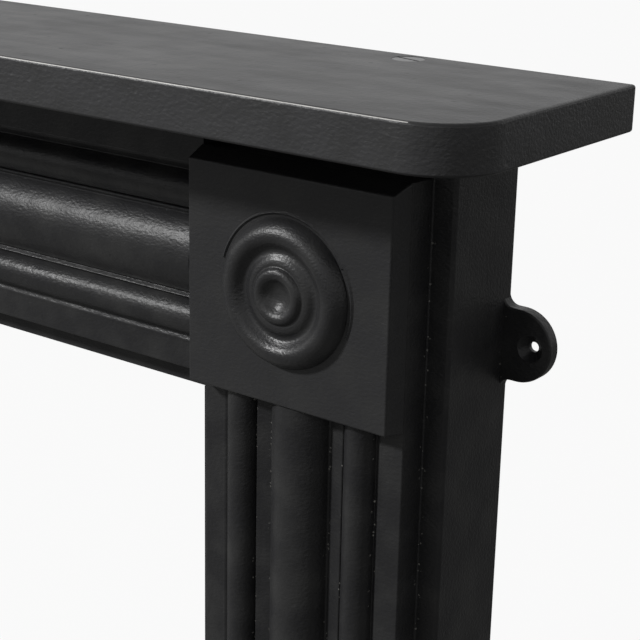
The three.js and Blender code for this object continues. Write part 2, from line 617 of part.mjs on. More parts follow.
function friezeNut(height) {
  const [y, z] = [FRIEZE_BOLT_Y, FRIEZE_BOTTOM + height];
  const start = FRIEZE_END - FLANGE - 2 * GAP - WASHER;
  return hexagon([start - BOLT.height, y, z], [start, y, z], BOLT.flats, BOLT.radius + THREAD_GAP);
}

// Shelf screws stand upright: a countersunk head in the shelf, the nut under the jamb's top plate.
function shelfScrew() {
  const top = SHELF_TOP - SCREW_SETTING;
  const end = BODY_TOP - 2 * WALL - GAP - SCREW.height - THREAD_END;
  return turned([SCREW_X, SCREW_Y, 0], UP, [
    [0, end], [SCREW.radius, end], [SCREW.radius, top - HEAD_DEPTH], [SCREW.head, top], [0, top],
  ], 24);
}

function shelfNut() {
  const top = BODY_TOP - 2 * WALL - GAP;
  return hexagon(
    [SCREW_X, SCREW_Y, top - SCREW.height], [SCREW_X, SCREW_Y, top], SCREW.flats, SCREW.radius + THREAD_GAP,
  );
}

// ---- Assembly ----
const surround = new THREE.Group();

function place(name, geometry, finish) {
  const mesh = new THREE.Mesh(geometry, new THREE.MeshStandardMaterial(finish));
  mesh.name = name;
  surround.add(mesh);
}

// A piece modelled on the right, and its mirror image on the left.
function placePair(name, manifold, finish) {
  const geometry = geometryOf(manifold);
  const [stem, ...rest] = name.split('.');
  place([`${stem}_right`, ...rest].join('_'), geometry, finish);
  place([`${stem}_left`, ...rest].join('_'), mirrored(geometry), finish);
}

place('mantel_shelf', geometryOf(shelf()), IRON);
place('frieze', geometryOf(frieze()), IRON);
placePair('jamb', jamb(), IRON);
placePair('corner_block', cornerBlock(), IRON);
placePair('roundel', roundel(), IRON);
placePair('plinth_block', plinthBlock(), IRON);
placePair('roundel_stud', roundelStud(), STEEL);
placePair('roundel_washer', roundelWasher(), STEEL);
placePair('roundel_nut', roundelNut(), STEEL);
placePair('shelf_screw', shelfScrew(), STEEL);
placePair('shelf_nut', shelfNut(), STEEL);
for (const [level, height] of Object.entries(PLINTH_STUD_HEIGHTS)) {
  placePair(`plinth_stud.${level}`, plinthStud(height), STEEL);
  placePair(`plinth_nut.${level}`, plinthNut(height), STEEL);
}
for (const [level, height] of Object.entries(FRIEZE_BOLT_HEIGHTS)) {
  placePair(`frieze_bolt.${level}`, friezeBolt(height), STEEL);
  placePair(`frieze_washer.${level}`, friezeWasher(height), STEEL);
  placePair(`frieze_nut.${level}`, friezeNut(height), STEEL);
}

export default surround;
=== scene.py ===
# Reeded cast iron fireplace surround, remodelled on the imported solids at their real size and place, and
# finished as blackened iron. Lengths are metres: +X to the right, +Y towards the wall, +Z up.
import math
from types import SimpleNamespace

import bmesh
import bpy
from mathutils import Matrix, Vector


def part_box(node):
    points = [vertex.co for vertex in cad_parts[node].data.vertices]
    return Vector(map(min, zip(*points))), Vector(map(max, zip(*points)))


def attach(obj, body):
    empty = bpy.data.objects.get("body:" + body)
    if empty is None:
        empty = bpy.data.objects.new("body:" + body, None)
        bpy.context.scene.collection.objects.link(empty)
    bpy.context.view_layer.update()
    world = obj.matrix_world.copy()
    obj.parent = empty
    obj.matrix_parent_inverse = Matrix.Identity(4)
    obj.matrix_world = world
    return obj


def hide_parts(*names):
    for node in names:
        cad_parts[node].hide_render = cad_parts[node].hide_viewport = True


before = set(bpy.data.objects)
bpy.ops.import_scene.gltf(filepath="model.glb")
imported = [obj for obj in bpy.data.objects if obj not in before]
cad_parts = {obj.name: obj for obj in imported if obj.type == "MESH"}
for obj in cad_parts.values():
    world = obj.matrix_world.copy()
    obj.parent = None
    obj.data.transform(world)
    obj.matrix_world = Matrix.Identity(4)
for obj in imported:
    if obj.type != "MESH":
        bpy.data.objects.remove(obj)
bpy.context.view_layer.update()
SHELF_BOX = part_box("mantel_shelf")

bl_info = {
    "name": "Reeded fireplace surround",
    "version": (1, 0, 0),
    "blender": (4, 5, 0),
    "location": "3D View > Sidebar > Surround",
    "description": "Builds a cast iron fireplace surround with reeded mouldings and turned roundels",
    "category": "Add Mesh",
}

MM = 0.001
X, Y, Z = Vector((1, 0, 0)), Vector((0, 1, 0)), Vector((0, 0, 1))
SIDES = (1, -1)  # right, left
TOUCH = 1e-6  # places nearer than this are one

# ---- Fixed sizes of what is hidden or standard ----
RIB_DEPTH, FLANGE_DEPTH, FLANGE = 8 * MM, 44 * MM, 8 * MM
RIB_INSET = 237.5 * MM  # outer ribs from the ends of the frieze
BLOCK_NARROWER, BLOCK_SHORTER, BLOCK_INSET = 2 * MM, 10 * MM, 0.9 * MM
BLOCK_BOSS, PEG_BOSS, PLINTH_BOSS, SHELF_BOSS, SCREW_BOSS = 16 * MM, 8 * MM, 10 * MM, 13 * MM, 10 * MM
PEG_ACROSS, PEG_UP, PEG_LENGTH = 20 * MM, 21 * MM, 4 * MM
PEG_RADIUS, PEG_HOLE = 3.5 * MM, 3.8 * MM
BOLT_RADIUS, BOLT_HOLE, BOLT_HEAD, STUD_SOCKET = 4 * MM, 4.5 * MM, 6.5 * MM, 4.3 * MM
SCREW_RADIUS, SCREW_HOLE = 5 * MM, 5.5 * MM
SCREW_OFFSET, SCREW_INSET = 23 * MM, 15.5 * MM  # from the middle of the jamb's panel, from the wall
BOLT_BACK = 26 * MM  # frieze bolts behind the border
BOLT_HEIGHTS = (30 * MM, 122 * MM)  # above the frieze panel's lower edge
STUD_HEIGHTS = (50 * MM, 128 * MM)
LUG_THICKNESS, LUG_RADIUS, LUG_FILLET, LUG_ARRIS = 8 * MM, 22.8 * MM, 7 * MM, 1.2 * MM
LUG_CENTRE_OUT, LUG_HOLE_OUT = 10.8 * MM, 19.3 * MM  # past the return
LUG_LOWER, LUG_UPPER_DROP = 300 * MM, 136.3 * MM
SPIGOT_RADIUS, SPIGOT_LENGTH = 10 * MM, 6.5 * MM
SHELF_OVERHANG = 70.5 * MM
PLINTH_BEVEL = 6 * MM
NUT_GAP = 0.15 * MM  # between a nut's bore and the thread drawn in it


def length(name, about, millimetres):
    return bpy.props.FloatProperty(
        name=name, description=about, default=millimetres * MM, min=0, unit="LENGTH", precision=4
    )


def colour(name, about, code):
    return bpy.props.FloatVectorProperty(
        name=name, description=about, default=linear(code), size=4, min=0, max=1, subtype="COLOR"
    )


def linear(code):
    """An sRGB hex colour as linear red, green, blue and alpha."""
    parts = [int(code[i : i + 2], 16) / 255 for i in (0, 2, 4)]
    return tuple(p / 12.92 if p <= 0.04045 else ((p + 0.055) / 1.055) ** 2.4 for p in parts) + (1.0,)


# ---- Sizes and colours ----
class SurroundSizes(bpy.types.PropertyGroup):
    opening_width: length("Opening width", "Clear width of the fire opening", 914)
    opening_height: length("Opening height", "Floor to the top of the fire opening", 940)
    panel_width: length("Panel width", "Width of the reeded panels", 152)
    border_width: length("Border width", "Flat border beside each panel", 15.5)
    panel_rise: length("Panel rise", "Panel face in front of the border", 17.8)
    panel_draft: length("Panel draft", "Lean of the panel's sides", 1.7)
    return_depth: length("Return depth", "Border face to the wall", 66.4)
    return_round: length("Return round", "Radius of the corner into the return", 2.5)
    head_gap: length("Head gap", "Top of the frieze panel to the shelf", 23.4)
    wall: length("Casting thickness", "General thickness of the iron", 6.5)
    gap: length("Gap", "Clearance between castings that touch", 0.3)
    shelf_radius: length("Shelf corner radius", "Plan radius of the shelf's front corners", 38)
    shelf_thickness: length("Shelf thickness", "Height of the shelf's edge", 27)
    shelf_arris: length("Shelf arris", "Rounding along the shelf's edges", 2.0)
    shelf_plate: length("Shelf plate", "Iron over the cells under the shelf", 8)
    shelf_rim: length("Shelf rim", "Iron round the cells under the shelf", 9)
    shelf_rib: length("Shelf rib", "Thickness of the ribs under the shelf", 6)
    block_rise: length("Block rise", "Corner block in front of the panel", 15)
    block_draft: length("Block draft", "Lean of the block's sides", 2.2)
    block_slope: length("Block slope", "Rise of the block's top towards the wall", 3.2)
    bedding: length("Bedding", "Height of the paste squeezed out round the roundel", 0.9)
    block_wall: length("Block wall", "Thickness of the blocks' iron", 6)
    plinth_height: length("Plinth height", "Height of the plinth blocks", 178)
    plinth_rise: length("Plinth rise", "Plinth block in front of the panel", 18)
    roundel_radius: length("Roundel radius", "Outer radius of the roundel", 46)
    ring_rise: length("Ring rise", "Height of the roundel's ring", 9)
    quirk: length("Quirk depth", "Grooves beside the reeds", 1.6)
    main_rise: length("Main reed rise", "Middle reed in front of the panel", 14)
    reed_rise: length("Side reed rise", "Side reeds above their grooves", 10.4)
    ridge_lip: length("Ridge lip", "Ridges in front of the panel", 1.2)
    bead_lip: length("Bead lip", "Outer beads in front of the panel", 0.3)
    ridge_step: length("Ridge step", "Width of a ridge's steep side", 1.3)
    edge_round: length("Edge rounding", "Rounding that casting and paint leave on the arrises", 1.0)


class ReedingSizes(bpy.types.PropertyGroup):
    """One panel's reeding, as distances from its middle line."""

    main_half: length("Main reed half width", "Half the width of the middle reed", 21.5)
    ridge: length("Ridge", "Middle of the panel to the ridge", 33.2)
    reed_half: length("Side reed half width", "Half the width of a side reed", 10.8)
    bead: length("Bead", "Middle of the panel to the outer bead", 60)


class SurroundColours(bpy.types.PropertyGroup):
    iron: colour("Blackened iron", "Colour of the blacking on the castings", "212122")
    iron_faced: colour("Faced iron", "Colour of the blacking on the flat blocks", "272728")
    iron_skin: colour("As-cast iron", "Colour of the blacking on the coarse skin", "313132")
    iron_worn: colour("Worn iron", "Where rubbing has thinned the blacking", "2c2c2c")
    grit: colour("Grit", "Moulding sand and polish dried in the grooves", "a8a6a0")
    # colour of the polish-worn front arris, made paler as well to paint a highlight along it
    iron_polish_and_highlight: colour("Bright iron", "Where hands have polished the arris", "8c8b89")
    steel: colour("Steel", "Colour of the screws, bolts and nuts", "6d6e70")
    steel_dark: colour("Dull steel", "Oil and scale in the hollows of the steel", "3a3835")
    floor: colour("Floor", "Colour of the floor", "767674")


def places():
    """Every place that follows from the sizes, worked out once for all the castings."""
    s = bpy.context.scene.surround_sizes
    p = SimpleNamespace()
    p.opening_edge = s.opening_width / 2
    p.panel_in = p.opening_edge + s.border_width + s.panel_draft
    p.panel_middle = p.panel_in + s.panel_width / 2
    p.panel_out = p.panel_in + s.panel_width
    p.return_out = p.panel_out + s.panel_draft + s.border_width
    p.wall_y = SHELF_BOX[1].y
    p.border_y = p.wall_y - s.return_depth
    p.panel_y = p.border_y - s.panel_rise
    p.panel_back = p.panel_y + s.wall
    p.border_back = p.border_y + s.wall
    p.rib_back = p.border_back + RIB_DEPTH
    p.flange_back = p.border_y + FLANGE_DEPTH
    p.block_y = p.panel_y - s.block_rise
    p.block_back = p.panel_y - s.gap / 6
    p.plinth_y = p.panel_y - s.plinth_rise
    p.frieze_bottom = s.opening_height + s.border_width + s.panel_draft
    p.frieze_middle = p.frieze_bottom + s.panel_width / 2
    p.frieze_top = p.frieze_bottom + s.panel_width
    p.shelf_underside = p.frieze_top + s.head_gap
    p.shelf_top = p.shelf_underside + s.shelf_thickness
    p.body_top = p.shelf_underside - s.gap
    p.frieze_end = p.panel_in - s.panel_draft
    p.joint_x = p.frieze_end + s.gap
    p.block_width = s.panel_width - BLOCK_NARROWER
    p.block_height = s.panel_width - BLOCK_SHORTER
    p.block_x = p.panel_in - BLOCK_INSET + p.block_width / 2
    p.block_z = p.frieze_bottom + p.block_height / 2
    p.peg_across = p.block_width / 2 - PEG_ACROSS
    p.peg_up = p.block_height / 2 - PEG_UP
    p.screw_x = p.panel_middle + SCREW_OFFSET
    p.screw_y = p.wall_y - SCREW_INSET
    p.bolt_y = p.border_y + BOLT_BACK
    p.lug_heights = (LUG_LOWER, p.body_top - LUG_UPPER_DROP)
    p.bolt_heights = [p.frieze_bottom + height for height in BOLT_HEIGHTS]
    return s, p


# ---- Handling pieces ----
def nothing_selected():
    """Leave edit mode and deselect every object."""
    if bpy.context.object and bpy.context.object.mode != "OBJECT":
        bpy.ops.object.mode_set(mode="OBJECT")
    bpy.ops.object.select_all(action="DESELECT")


def alone(piece):
    """Select one object and nothing else, in object mode."""
    nothing_selected()
    piece.select_set(True)
    bpy.context.view_layer.objects.active = piece


def fresh(name, start, **settings):
    """Add a primitive with nothing else selected, bake its place into its mesh and name it."""
    nothing_selected()
    start(**settings)
    piece = bpy.context.object
    bpy.ops.object.transform_apply(location=True, rotation=True, scale=True)
    piece.name = piece.data.name = name
    return piece


def edit(piece):
    alone(piece)
    bpy.ops.object.mode_set(mode="EDIT")
    bpy.ops.mesh.select_all(action="SELECT")


def done():
    bpy.ops.object.mode_set(mode="OBJECT")


def pick(piece, kind, test):
    """In edit mode, select the vertices, edges or faces that pass the test, and only those."""
    bpy.ops.mesh.select_mode(type=kind)
    bpy.ops.mesh.select_all(action="DESELECT")
    mesh = bmesh.from_edit_mesh(piece.data)
    parts = {"VERT": mesh.verts, "EDGE": mesh.edges, "FACE": mesh.faces}[kind]
    chosen = [part for part in parts if test(part)]
    if not chosen:
        raise RuntimeError(f"nothing to pick on {piece.name}")
    for part in chosen:
        part.select = True
    mesh.select_flush_mode()
    bmesh.update_edit_mesh(piece.data)


def tidy(piece):
    """Merge what meets, then turn every face outwards."""
    edit(piece)
    bpy.ops.mesh.remove_doubles(threshold=TOUCH)
    bpy.ops.mesh.select_all(action="SELECT")
    bpy.ops.mesh.normals_make_consistent(inside=False)
    done()
    return piece


def combine(piece, other, operation):
    """Join or cut one solid with another, which is used up."""
    alone(piece)
    bpy.ops.object.modifier_add(type="BOOLEAN")
    modifier = piece.modifiers[-1]
    modifier.operation = operation
    modifier.solver = "MANIFOLD"
    modifier.object = other
    bpy.ops.object.modifier_apply(modifier=modifier.name)
    bpy.data.meshes.remove(other.data)
    return piece


def weld(piece, other):
    return combine(piece, other, "UNION")


def cut(piece, other):
    return combine(piece, other, "DIFFERENCE")


def soften(piece, test, width, segments=3):
    """Round off the edges that pass the test."""
    edit(piece)
    pick(piece, "EDGE", test)
    bpy.ops.mesh.bevel(offset=width, segments=segments, affect="EDGES", clamp_overlap=True)
    done()


def crease(edge, degrees=22):
    """Whether two faces meet at an edge more sharply than this."""
    return len(edge.link_faces) == 2 and edge.calc_face_angle(0) > math.radians(degrees)


def finish(piece, material, node):
    """Smooth the curved faces, keep the flats flat, and hand the piece to the frame."""
    alone(piece)
    bpy.ops.object.shade_smooth_by_angle(angle=math.radians(38))
    bpy.ops.object.modifier_add(type="WEIGHTED_NORMAL")
    piece.modifiers[-1].keep_sharp = True
    bpy.ops.object.modifier_apply(modifier=piece.modifiers[-1].name)
    piece.data.materials.clear()
    piece.data.materials.append(material)
    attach(piece, "root")
    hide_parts(node)


def twin(piece, name):
    """A copy with its own mesh."""
    alone(piece)
    bpy.ops.object.duplicate(linked=False)
    copy = bpy.context.object
    copy.name = copy.data.name = name
    return copy


def mirrored(piece, name):
    """A copy on the other side of the surround, its faces turned outwards again."""
    copy = twin(piece, name)
    copy.scale.x = -1
    bpy.ops.object.transform_apply(scale=True)
    return tidy(copy)


def finish_pair(piece, name, skin):
    """Mirror a casting of the right side, and hand over both."""
    left = mirrored(piece, f"{name}_left_casting")
    finish(piece, iron(skin), f"{name}_right")
    finish(left, iron(skin), f"{name}_left")


# ---- Drawing with an edge or a point ----
def straight_edge(name, start, end):
    """A plane cut down to one edge between two points along X, Y or Z."""
    start, end = Vector(start), Vector(end)
    run = end - start
    turns = [(0, 0, 0), (0, 0, math.pi / 2), (0, math.pi / 2, 0)]
    turn = turns[max(range(3), key=lambda axis: abs(run[axis]))]
    piece = fresh(name, bpy.ops.mesh.primitive_plane_add, size=run.length, rotation=turn)
    spare = 0 if abs(run.y) > 0 else 1
    edit(piece)
    pick(piece, "VERT", lambda vert: vert.co[spare] > 0)
    bpy.ops.mesh.delete(type="VERT")
    bpy.ops.mesh.select_all(action="SELECT")
    middle = sum((vert.co for vert in bmesh.from_edit_mesh(piece.data).verts), Vector()) / 2
    bpy.ops.transform.translate(value=(start + end) / 2 - middle)
    return piece


def single_point(name, at):
    """A plane cut down to one vertex."""
    piece = fresh(name, bpy.ops.mesh.primitive_plane_add, size=1)
    edit(piece)
    pick(piece, "VERT", lambda vert: vert.co.x > 0 or vert.co.y > 0)
    bpy.ops.mesh.delete(type="VERT")
    bpy.ops.mesh.select_mode(type="VERT")
    bpy.ops.mesh.select_all(action="SELECT")
    bpy.ops.transform.translate(value=Vector(at) + Vector((0.5, 0.5, 0)))
    return piece


def draw(plane, strokes):
    """Carry the selected edge or point along a line in a plane, given by its origin and two directions. A
    stroke of two numbers is a straight run to that place. A stroke of four is an arc: the place of its
    centre, its angle in degrees, anticlockwise, and its number of steps."""
    origin, right, up = plane
    here = Vector(strokes[0])
    for stroke in strokes[1:]:
        if len(stroke) == 2:
            step = Vector(stroke) - here
            move = step.x * right + step.y * up
            bpy.ops.mesh.extrude_region_move(TRANSFORM_OT_translate={"value": move})
            here += step
        else:
            centre = Vector(stroke[:2])
            angle = math.radians(stroke[2])
            pole = origin + centre.x * right + centre.y * up
            # spin turns clockwise about the axis that it is given
            bpy.ops.mesh.spin(steps=stroke[3], angle=-angle, center=pole, axis=right.cross(up))
            here = centre + Matrix.Rotation(angle, 2) @ (here - centre)


def moulding(name, along, low, high, strokes, rounding=0.0):
    """A closed bar between two places along X, Y or Z. An edge as long as the bar is carried round the
    section, its arrises are rounded, and both ends are filled."""
    right, up = {"X": (Y, Z), "Y": (X, Z), "Z": (X, Y)}[along]
    axis = {"X": X, "Y": Y, "Z": Z}[along]
    first = strokes[0][0] * right + strokes[0][1] * up
    piece = straight_edge(name, first + low * axis, first + high * axis)
    draw((Vector(), right, up), strokes + [strokes[0]])
    bpy.ops.mesh.select_mode(type="EDGE")
    bpy.ops.mesh.select_all(action="SELECT")
    bpy.ops.mesh.remove_doubles(threshold=TOUCH)
    if rounding:
        pick(piece, "EDGE", crease)
        bpy.ops.mesh.bevel(offset=rounding, segments=3, affect="EDGES", clamp_overlap=True)
    for end in (low, high):
        pick(piece, "EDGE", lambda edge: all(abs(v.co.dot(axis) - end) < TOUCH for v in edge.verts))
        bpy.ops.mesh.edge_face_add()
    return tidy(piece)


def turned(name, at, axis, profile, steps):
    """A solid of revolution: the profile, as radius and distance along the axis, is drawn and spun once
    round."""
    radial = Y if abs(axis.x) > 0 else X
    at = Vector(at)
    piece = single_point(name, at + profile[0][0] * radial + profile[0][1] * axis)
    draw((at, radial, axis), profile)
    bpy.ops.mesh.select_all(action="SELECT")
    bpy.ops.mesh.spin(steps=steps, angle=math.tau, center=at, axis=axis)
    return tidy(piece)


def brick(name, low, high):
    low, high = Vector(low), Vector(high)
    return fresh(name, bpy.ops.mesh.primitive_cube_add, size=1, location=(low + high) / 2, scale=high - low)


def rod(name, start, end, radius, sides=32):
    axis = (Vector(end) - Vector(start)).normalized()
    reach = (Vector(end) - Vector(start)).length
    return turned(name, start, axis, [(0, 0), (radius, 0), (radius, reach), (0, reach)], sides)


def drafted_brick(name, low, high, draft):
    """A block whose sides lean out by the draft on their way back."""
    piece = brick(name, low, high)
    middle = (Vector(low) + Vector(high)) / 2
    size = Vector(high) - Vector(low)
    edit(piece)
    pick(piece, "VERT", lambda vert: vert.co.y > middle.y)
    scale = (1 + 2 * draft / size.x, 1, 1 + 2 * draft / size.z)
    bpy.ops.transform.resize(value=scale, center_override=middle)
    done()
    return piece


# ---- Reeding ----
def reed_arc(half, rise):
    """Radius and half angle, in degrees, of a round of this half width and rise."""
    radius = (half * half + rise * rise) / (2 * rise)
    return radius, math.degrees(math.asin(min(1, half / radius)))


def reeded_face(s, sizes):
    """Half of the panel's face as strokes in distance from the middle line and height, outwards from the
    foot of the main reed. An arc is its centre, angle and steps."""
    radius, sweep = reed_arc(sizes.reed_half, s.reed_rise)
    middle = sizes.ridge + s.ridge_step + sizes.reed_half
    return [
        (sizes.ridge, s.ridge_lip),
        (sizes.ridge + s.ridge_step, -s.quirk),
        (middle, s.reed_rise - s.quirk - radius, 2 * sweep, 26),
        (sizes.bead, s.bead_lip),
        (sizes.bead + s.ridge_step, 0),
        (s.panel_width / 2, 0),
    ]


def panel_section(s, sizes):
    """The whole face from one edge of the panel to the other, then the hollow back to where it began."""
    outer = reeded_face(s, sizes)
    radius, sweep = reed_arc(sizes.main_half, s.main_rise + s.quirk)
    # going towards the middle, the side reed is met from its outer foot
    inner = []
    for i in range(len(outer) - 1, -1, -1):
        if len(outer[i]) == 2:
            if i != 1:
                inner.append((-outer[i][0], outer[i][1]))
        else:
            foot = sizes.ridge + s.ridge_step + 2 * sizes.reed_half
            inner.append((-foot, -s.quirk))
            inner.append((-outer[i][0], *outer[i][1:]))
    main = [(-sizes.main_half, -s.quirk), (0, s.main_rise - radius, 2 * sweep, 40)]
    return inner + main + outer


def panel_back(s, sizes, grow=0.0):
    """The back of the panel with a groove behind the main reed, from the far side to the near one."""
    foot = s.panel_width / 2 + s.panel_draft - s.wall + grow
    face = grow - s.wall
    half = sizes.main_half - s.wall + grow
    radius, sweep = reed_arc(half, s.main_rise)
    return [
        (foot, face - s.panel_rise),
        (foot - s.panel_draft, face),
        (half, face),
        (0, face + s.main_rise - radius, -2 * sweep, 16),
        (s.panel_draft - foot, face),
        (-foot, face - s.panel_rise),
    ]


def across_panel(strokes, middle, face, upright):
    """Panel strokes as places: across the panel and in front of its face, to a section's two directions."""
    placed = []
    for stroke in strokes:
        if upright:
            at = (middle + stroke[0], face - stroke[1])
            turn = stroke[2:3] and (stroke[2],)
        else:
            at = (face - stroke[1], middle + stroke[0])
            turn = stroke[2:3] and (-stroke[2],)
        placed.append(at + turn + tuple(stroke[3:]))
    return placed


# ---- Frieze ----
def frieze_strokes(s, p, sizes):
    face = across_panel(panel_section(s, sizes), p.frieze_middle, p.panel_y, False)
    back = across_panel(panel_back(s, sizes), p.frieze_middle, p.panel_y, False)
    return [
        (p.border_y, s.opening_height),
        (p.border_y, p.frieze_bottom - s.panel_draft),
        *face,
        (p.border_y, p.frieze_top + s.panel_draft),
        (p.border_y, p.body_top),
        (p.wall_y, p.body_top),
        (p.wall_y, p.body_top - s.wall),
        (p.border_back, p.body_top - s.wall),
        *back,
        (p.border_back, s.opening_height),
    ]


def frieze_web(s, p, sizes, name, left, right, back):
    """An upright web behind the frieze, drawn round the hollow it fills."""
    inside = across_panel(panel_back(s, sizes, MM), p.frieze_middle, p.panel_y, False)
    top, bottom = p.body_top - s.wall + MM, s.opening_height + MM
    face = p.border_back - MM
    strokes = [(back, top), (face, top), *inside, (face, bottom), (back, bottom)]
    return moulding(name, "X", left, right, strokes)


def block_room(s, p, name):
    """The corner block's own room, a gap wider all round, which the reeds stop at."""
    g, half_x, half_z = s.gap, p.block_width / 2 + s.gap, p.block_height / 2 + s.gap
    low = (p.block_x - half_x, p.block_y - g, p.block_z - half_z)
    high = (p.block_x + half_x, p.panel_y, p.block_z + half_z)
    return drafted_brick(name, low, high, s.block_draft)


def build_frieze():
    s, p = places()
    sizes = bpy.context.scene.frieze_reeding
    end, rib = p.frieze_end, s.shelf_rib / 2
    piece = moulding("frieze_casting", "X", -end, end, frieze_strokes(s, p, sizes), s.edge_round)
    for x in (end - RIB_INSET, 0, RIB_INSET - end):
        weld(piece, frieze_web(s, p, sizes, "rib", x - rib, x + rib, p.rib_back))
    weld(piece, frieze_web(s, p, sizes, "flange", end - FLANGE, end, p.flange_back))
    weld(piece, frieze_web(s, p, sizes, "flange", -end, FLANGE - end, p.flange_back))
    room = block_room(s, p, "room")
    cut(piece, mirrored(room, "room_left"))
    cut(piece, room)
    for z in p.bolt_heights:
        cut(piece, rod("hole", (-end - MM, p.bolt_y, z), (FLANGE - end + MM, p.bolt_y, z), BOLT_HOLE))
        cut(piece, rod("hole", (end - FLANGE - MM, p.bolt_y, z), (end + MM, p.bolt_y, z), BOLT_HOLE))
    finish(piece, iron(), "frieze")


# ---- Jambs ----
def jamb_strokes(s, p, sizes):
    face = across_panel(panel_section(s, sizes), p.panel_middle, p.panel_y, True)
    back = across_panel(panel_back(s, sizes), p.panel_middle, p.panel_y, True)
    return [
        (p.opening_edge, p.border_y),
        (p.panel_in - s.panel_draft, p.border_y),
        *face,
        (p.panel_out + s.panel_draft, p.border_y),
        (p.return_out - s.return_round, p.border_y),
        (p.return_out - s.return_round, p.border_y + s.return_round, 90, 8),
        (p.return_out, p.wall_y),
        (p.return_out - s.wall, p.wall_y),
        (p.return_out - s.wall, p.border_back),
        *back,
        (p.opening_edge, p.border_back),
    ]


def jamb_web(s, p, sizes, bottom, top, back):
    """A level web across the back of the jamb."""
    inside = across_panel(panel_back(s, sizes, MM), p.panel_middle, p.panel_y, True)
    outer = p.return_out - s.wall + MM
    strokes = [(outer, back), (outer, p.border_back - MM), *inside, (p.panel_in + MM, back)]
    return moulding("web", "Z", bottom, top, strokes)


def wall_lug(s, p, height):
    """A fixing lug flush with the wall and faired into the return; lug_hole cuts its countersunk hole
    later.
    """
    radius, fillet, front = LUG_RADIUS, LUG_FILLET, p.wall_y - LUG_THICKNESS
    root, end = p.return_out - s.wall / 2, p.return_out + LUG_CENTRE_OUT
    foot = p.return_out + fillet - MM / 2
    reach = radius + fillet
    strokes = [
        (root, height - reach),
        (foot - fillet, height - reach),
        (foot, height - reach, -90, 8),
        (end, height - radius),
        (end, height, 180, 40),
        (foot, height + radius),
        (foot, height + reach, -90, 8),
        (root, height + reach),
    ]
    lug = moulding("lug", "Y", front, p.wall_y, strokes)
    rim = lambda e: crease(e, 50) and all(abs(v.co.y - front) < 10 * TOUCH for v in e.verts)
    soften(lug, rim, LUG_ARRIS, 4)
    return lug


def lug_hole(p, height):
    """Cutter for the lug's countersunk hole."""
    mouth, bore, depth = 9.5 * MM, 3.2 * MM, 9 * MM
    return turned("hole", (p.return_out + LUG_HOLE_OUT, p.wall_y - LUG_THICKNESS, height), Y, [
        (0, -MM), (mouth, -MM), (bore, mouth - bore - MM), (bore, depth), (0, depth),
    ], 40)


def set_back_head(s, p, piece):
    """Above the corner block the face steps back to the border's plane, over a level ledge."""
    ledge = p.block_z + p.block_height / 2 + s.block_draft + s.block_slope
    left, right = p.panel_in - s.panel_draft - MM, p.panel_out + s.panel_draft + MM
    reach = 9 * MM  # in front of the panel, clear of its ridges
    cut(piece, brick("recess", (left, p.panel_y - reach, ledge), (right, p.border_y, p.body_top + MM)))
    weld(piece, brick("head", (left, p.border_y, ledge - s.wall), (right, p.border_back, p.body_top - MM)))
    low = (p.panel_in + MM, p.panel_y + MM, ledge - s.wall)
    weld(piece, brick("ledge", low, (p.panel_out - MM, p.border_back - MM, ledge)))


def build_jambs():
    s, p = places()
    sizes = bpy.context.scene.jamb_reeding
    piece = moulding("jamb_right_casting", "Z", 0, p.body_top, jamb_strokes(s, p, sizes), s.edge_round)
    for low, high in ((p.frieze_bottom + MM, p.body_top), (0, s.plinth_height - MM)):
        corner = (p.panel_out - MM, p.panel_back, high)
        weld(piece, brick("seat", (p.panel_in + MM, p.panel_y, low), corner))
    set_back_head(s, p, piece)
    weld(piece, jamb_web(s, p, sizes, 0, s.shelf_rib, p.rib_back))
    weld(piece, jamb_web(s, p, sizes, p.body_top - s.wall, p.body_top, p.wall_y))
    boss = p.body_top - 2 * s.wall
    end = (p.screw_x, p.screw_y, p.body_top - MM)
    weld(piece, rod("boss", (p.screw_x, p.screw_y, boss), end, SCREW_BOSS, 40))
    weld(piece, brick(
        "flange", (p.joint_x, p.border_y + MM, s.opening_height - s.wall),
        (p.joint_x + FLANGE, p.flange_back, p.body_top),
    ))
    for height in p.lug_heights:
        weld(piece, wall_lug(s, p, height))
    cut(piece, block_room(s, p, "room"))
    cut(piece, brick(
        "room", (p.panel_in - s.wall, p.block_y - MM, p.block_z),
        (p.panel_out + s.wall, p.panel_y, p.body_top + MM),
    ))
    half = p.block_width / 2 + s.gap
    cut(piece, drafted_brick(
        "room", (p.block_x - half, p.plinth_y - s.gap, -MM),
        (p.block_x + half, p.panel_y, s.plinth_height + s.gap), s.block_draft,
    ))
    cut(piece, brick(
        "joint", (p.opening_edge - MM, p.plinth_y, s.opening_height - s.gap),
        (p.joint_x, p.wall_y + MM, p.body_top + MM),
    ))
    cut(piece, rod(
        "hole", (p.screw_x, p.screw_y, boss - MM), (p.screw_x, p.screw_y, p.body_top + MM), SCREW_HOLE,
    ))
    through = [(p.block_x, z, BOLT_HOLE) for z in (p.block_z, *STUD_HEIGHTS)]
    through += [(p.block_x + k * p.peg_across, p.block_z - k * p.peg_up, PEG_HOLE) for k in (-1, 1)]
    for x, z, radius in through:
        cut(piece, rod("hole", (x, p.panel_y - MM, z), (x, p.panel_back + MM, z), radius))
    for z in p.bolt_heights:
        end = (p.joint_x + FLANGE + MM, p.bolt_y, z)
        cut(piece, rod("hole", (p.joint_x - MM, p.bolt_y, z), end, BOLT_HOLE))
    for height in p.lug_heights:
        cut(piece, lug_hole(p, height))
    finish_pair(piece, "jamb", "grooved")


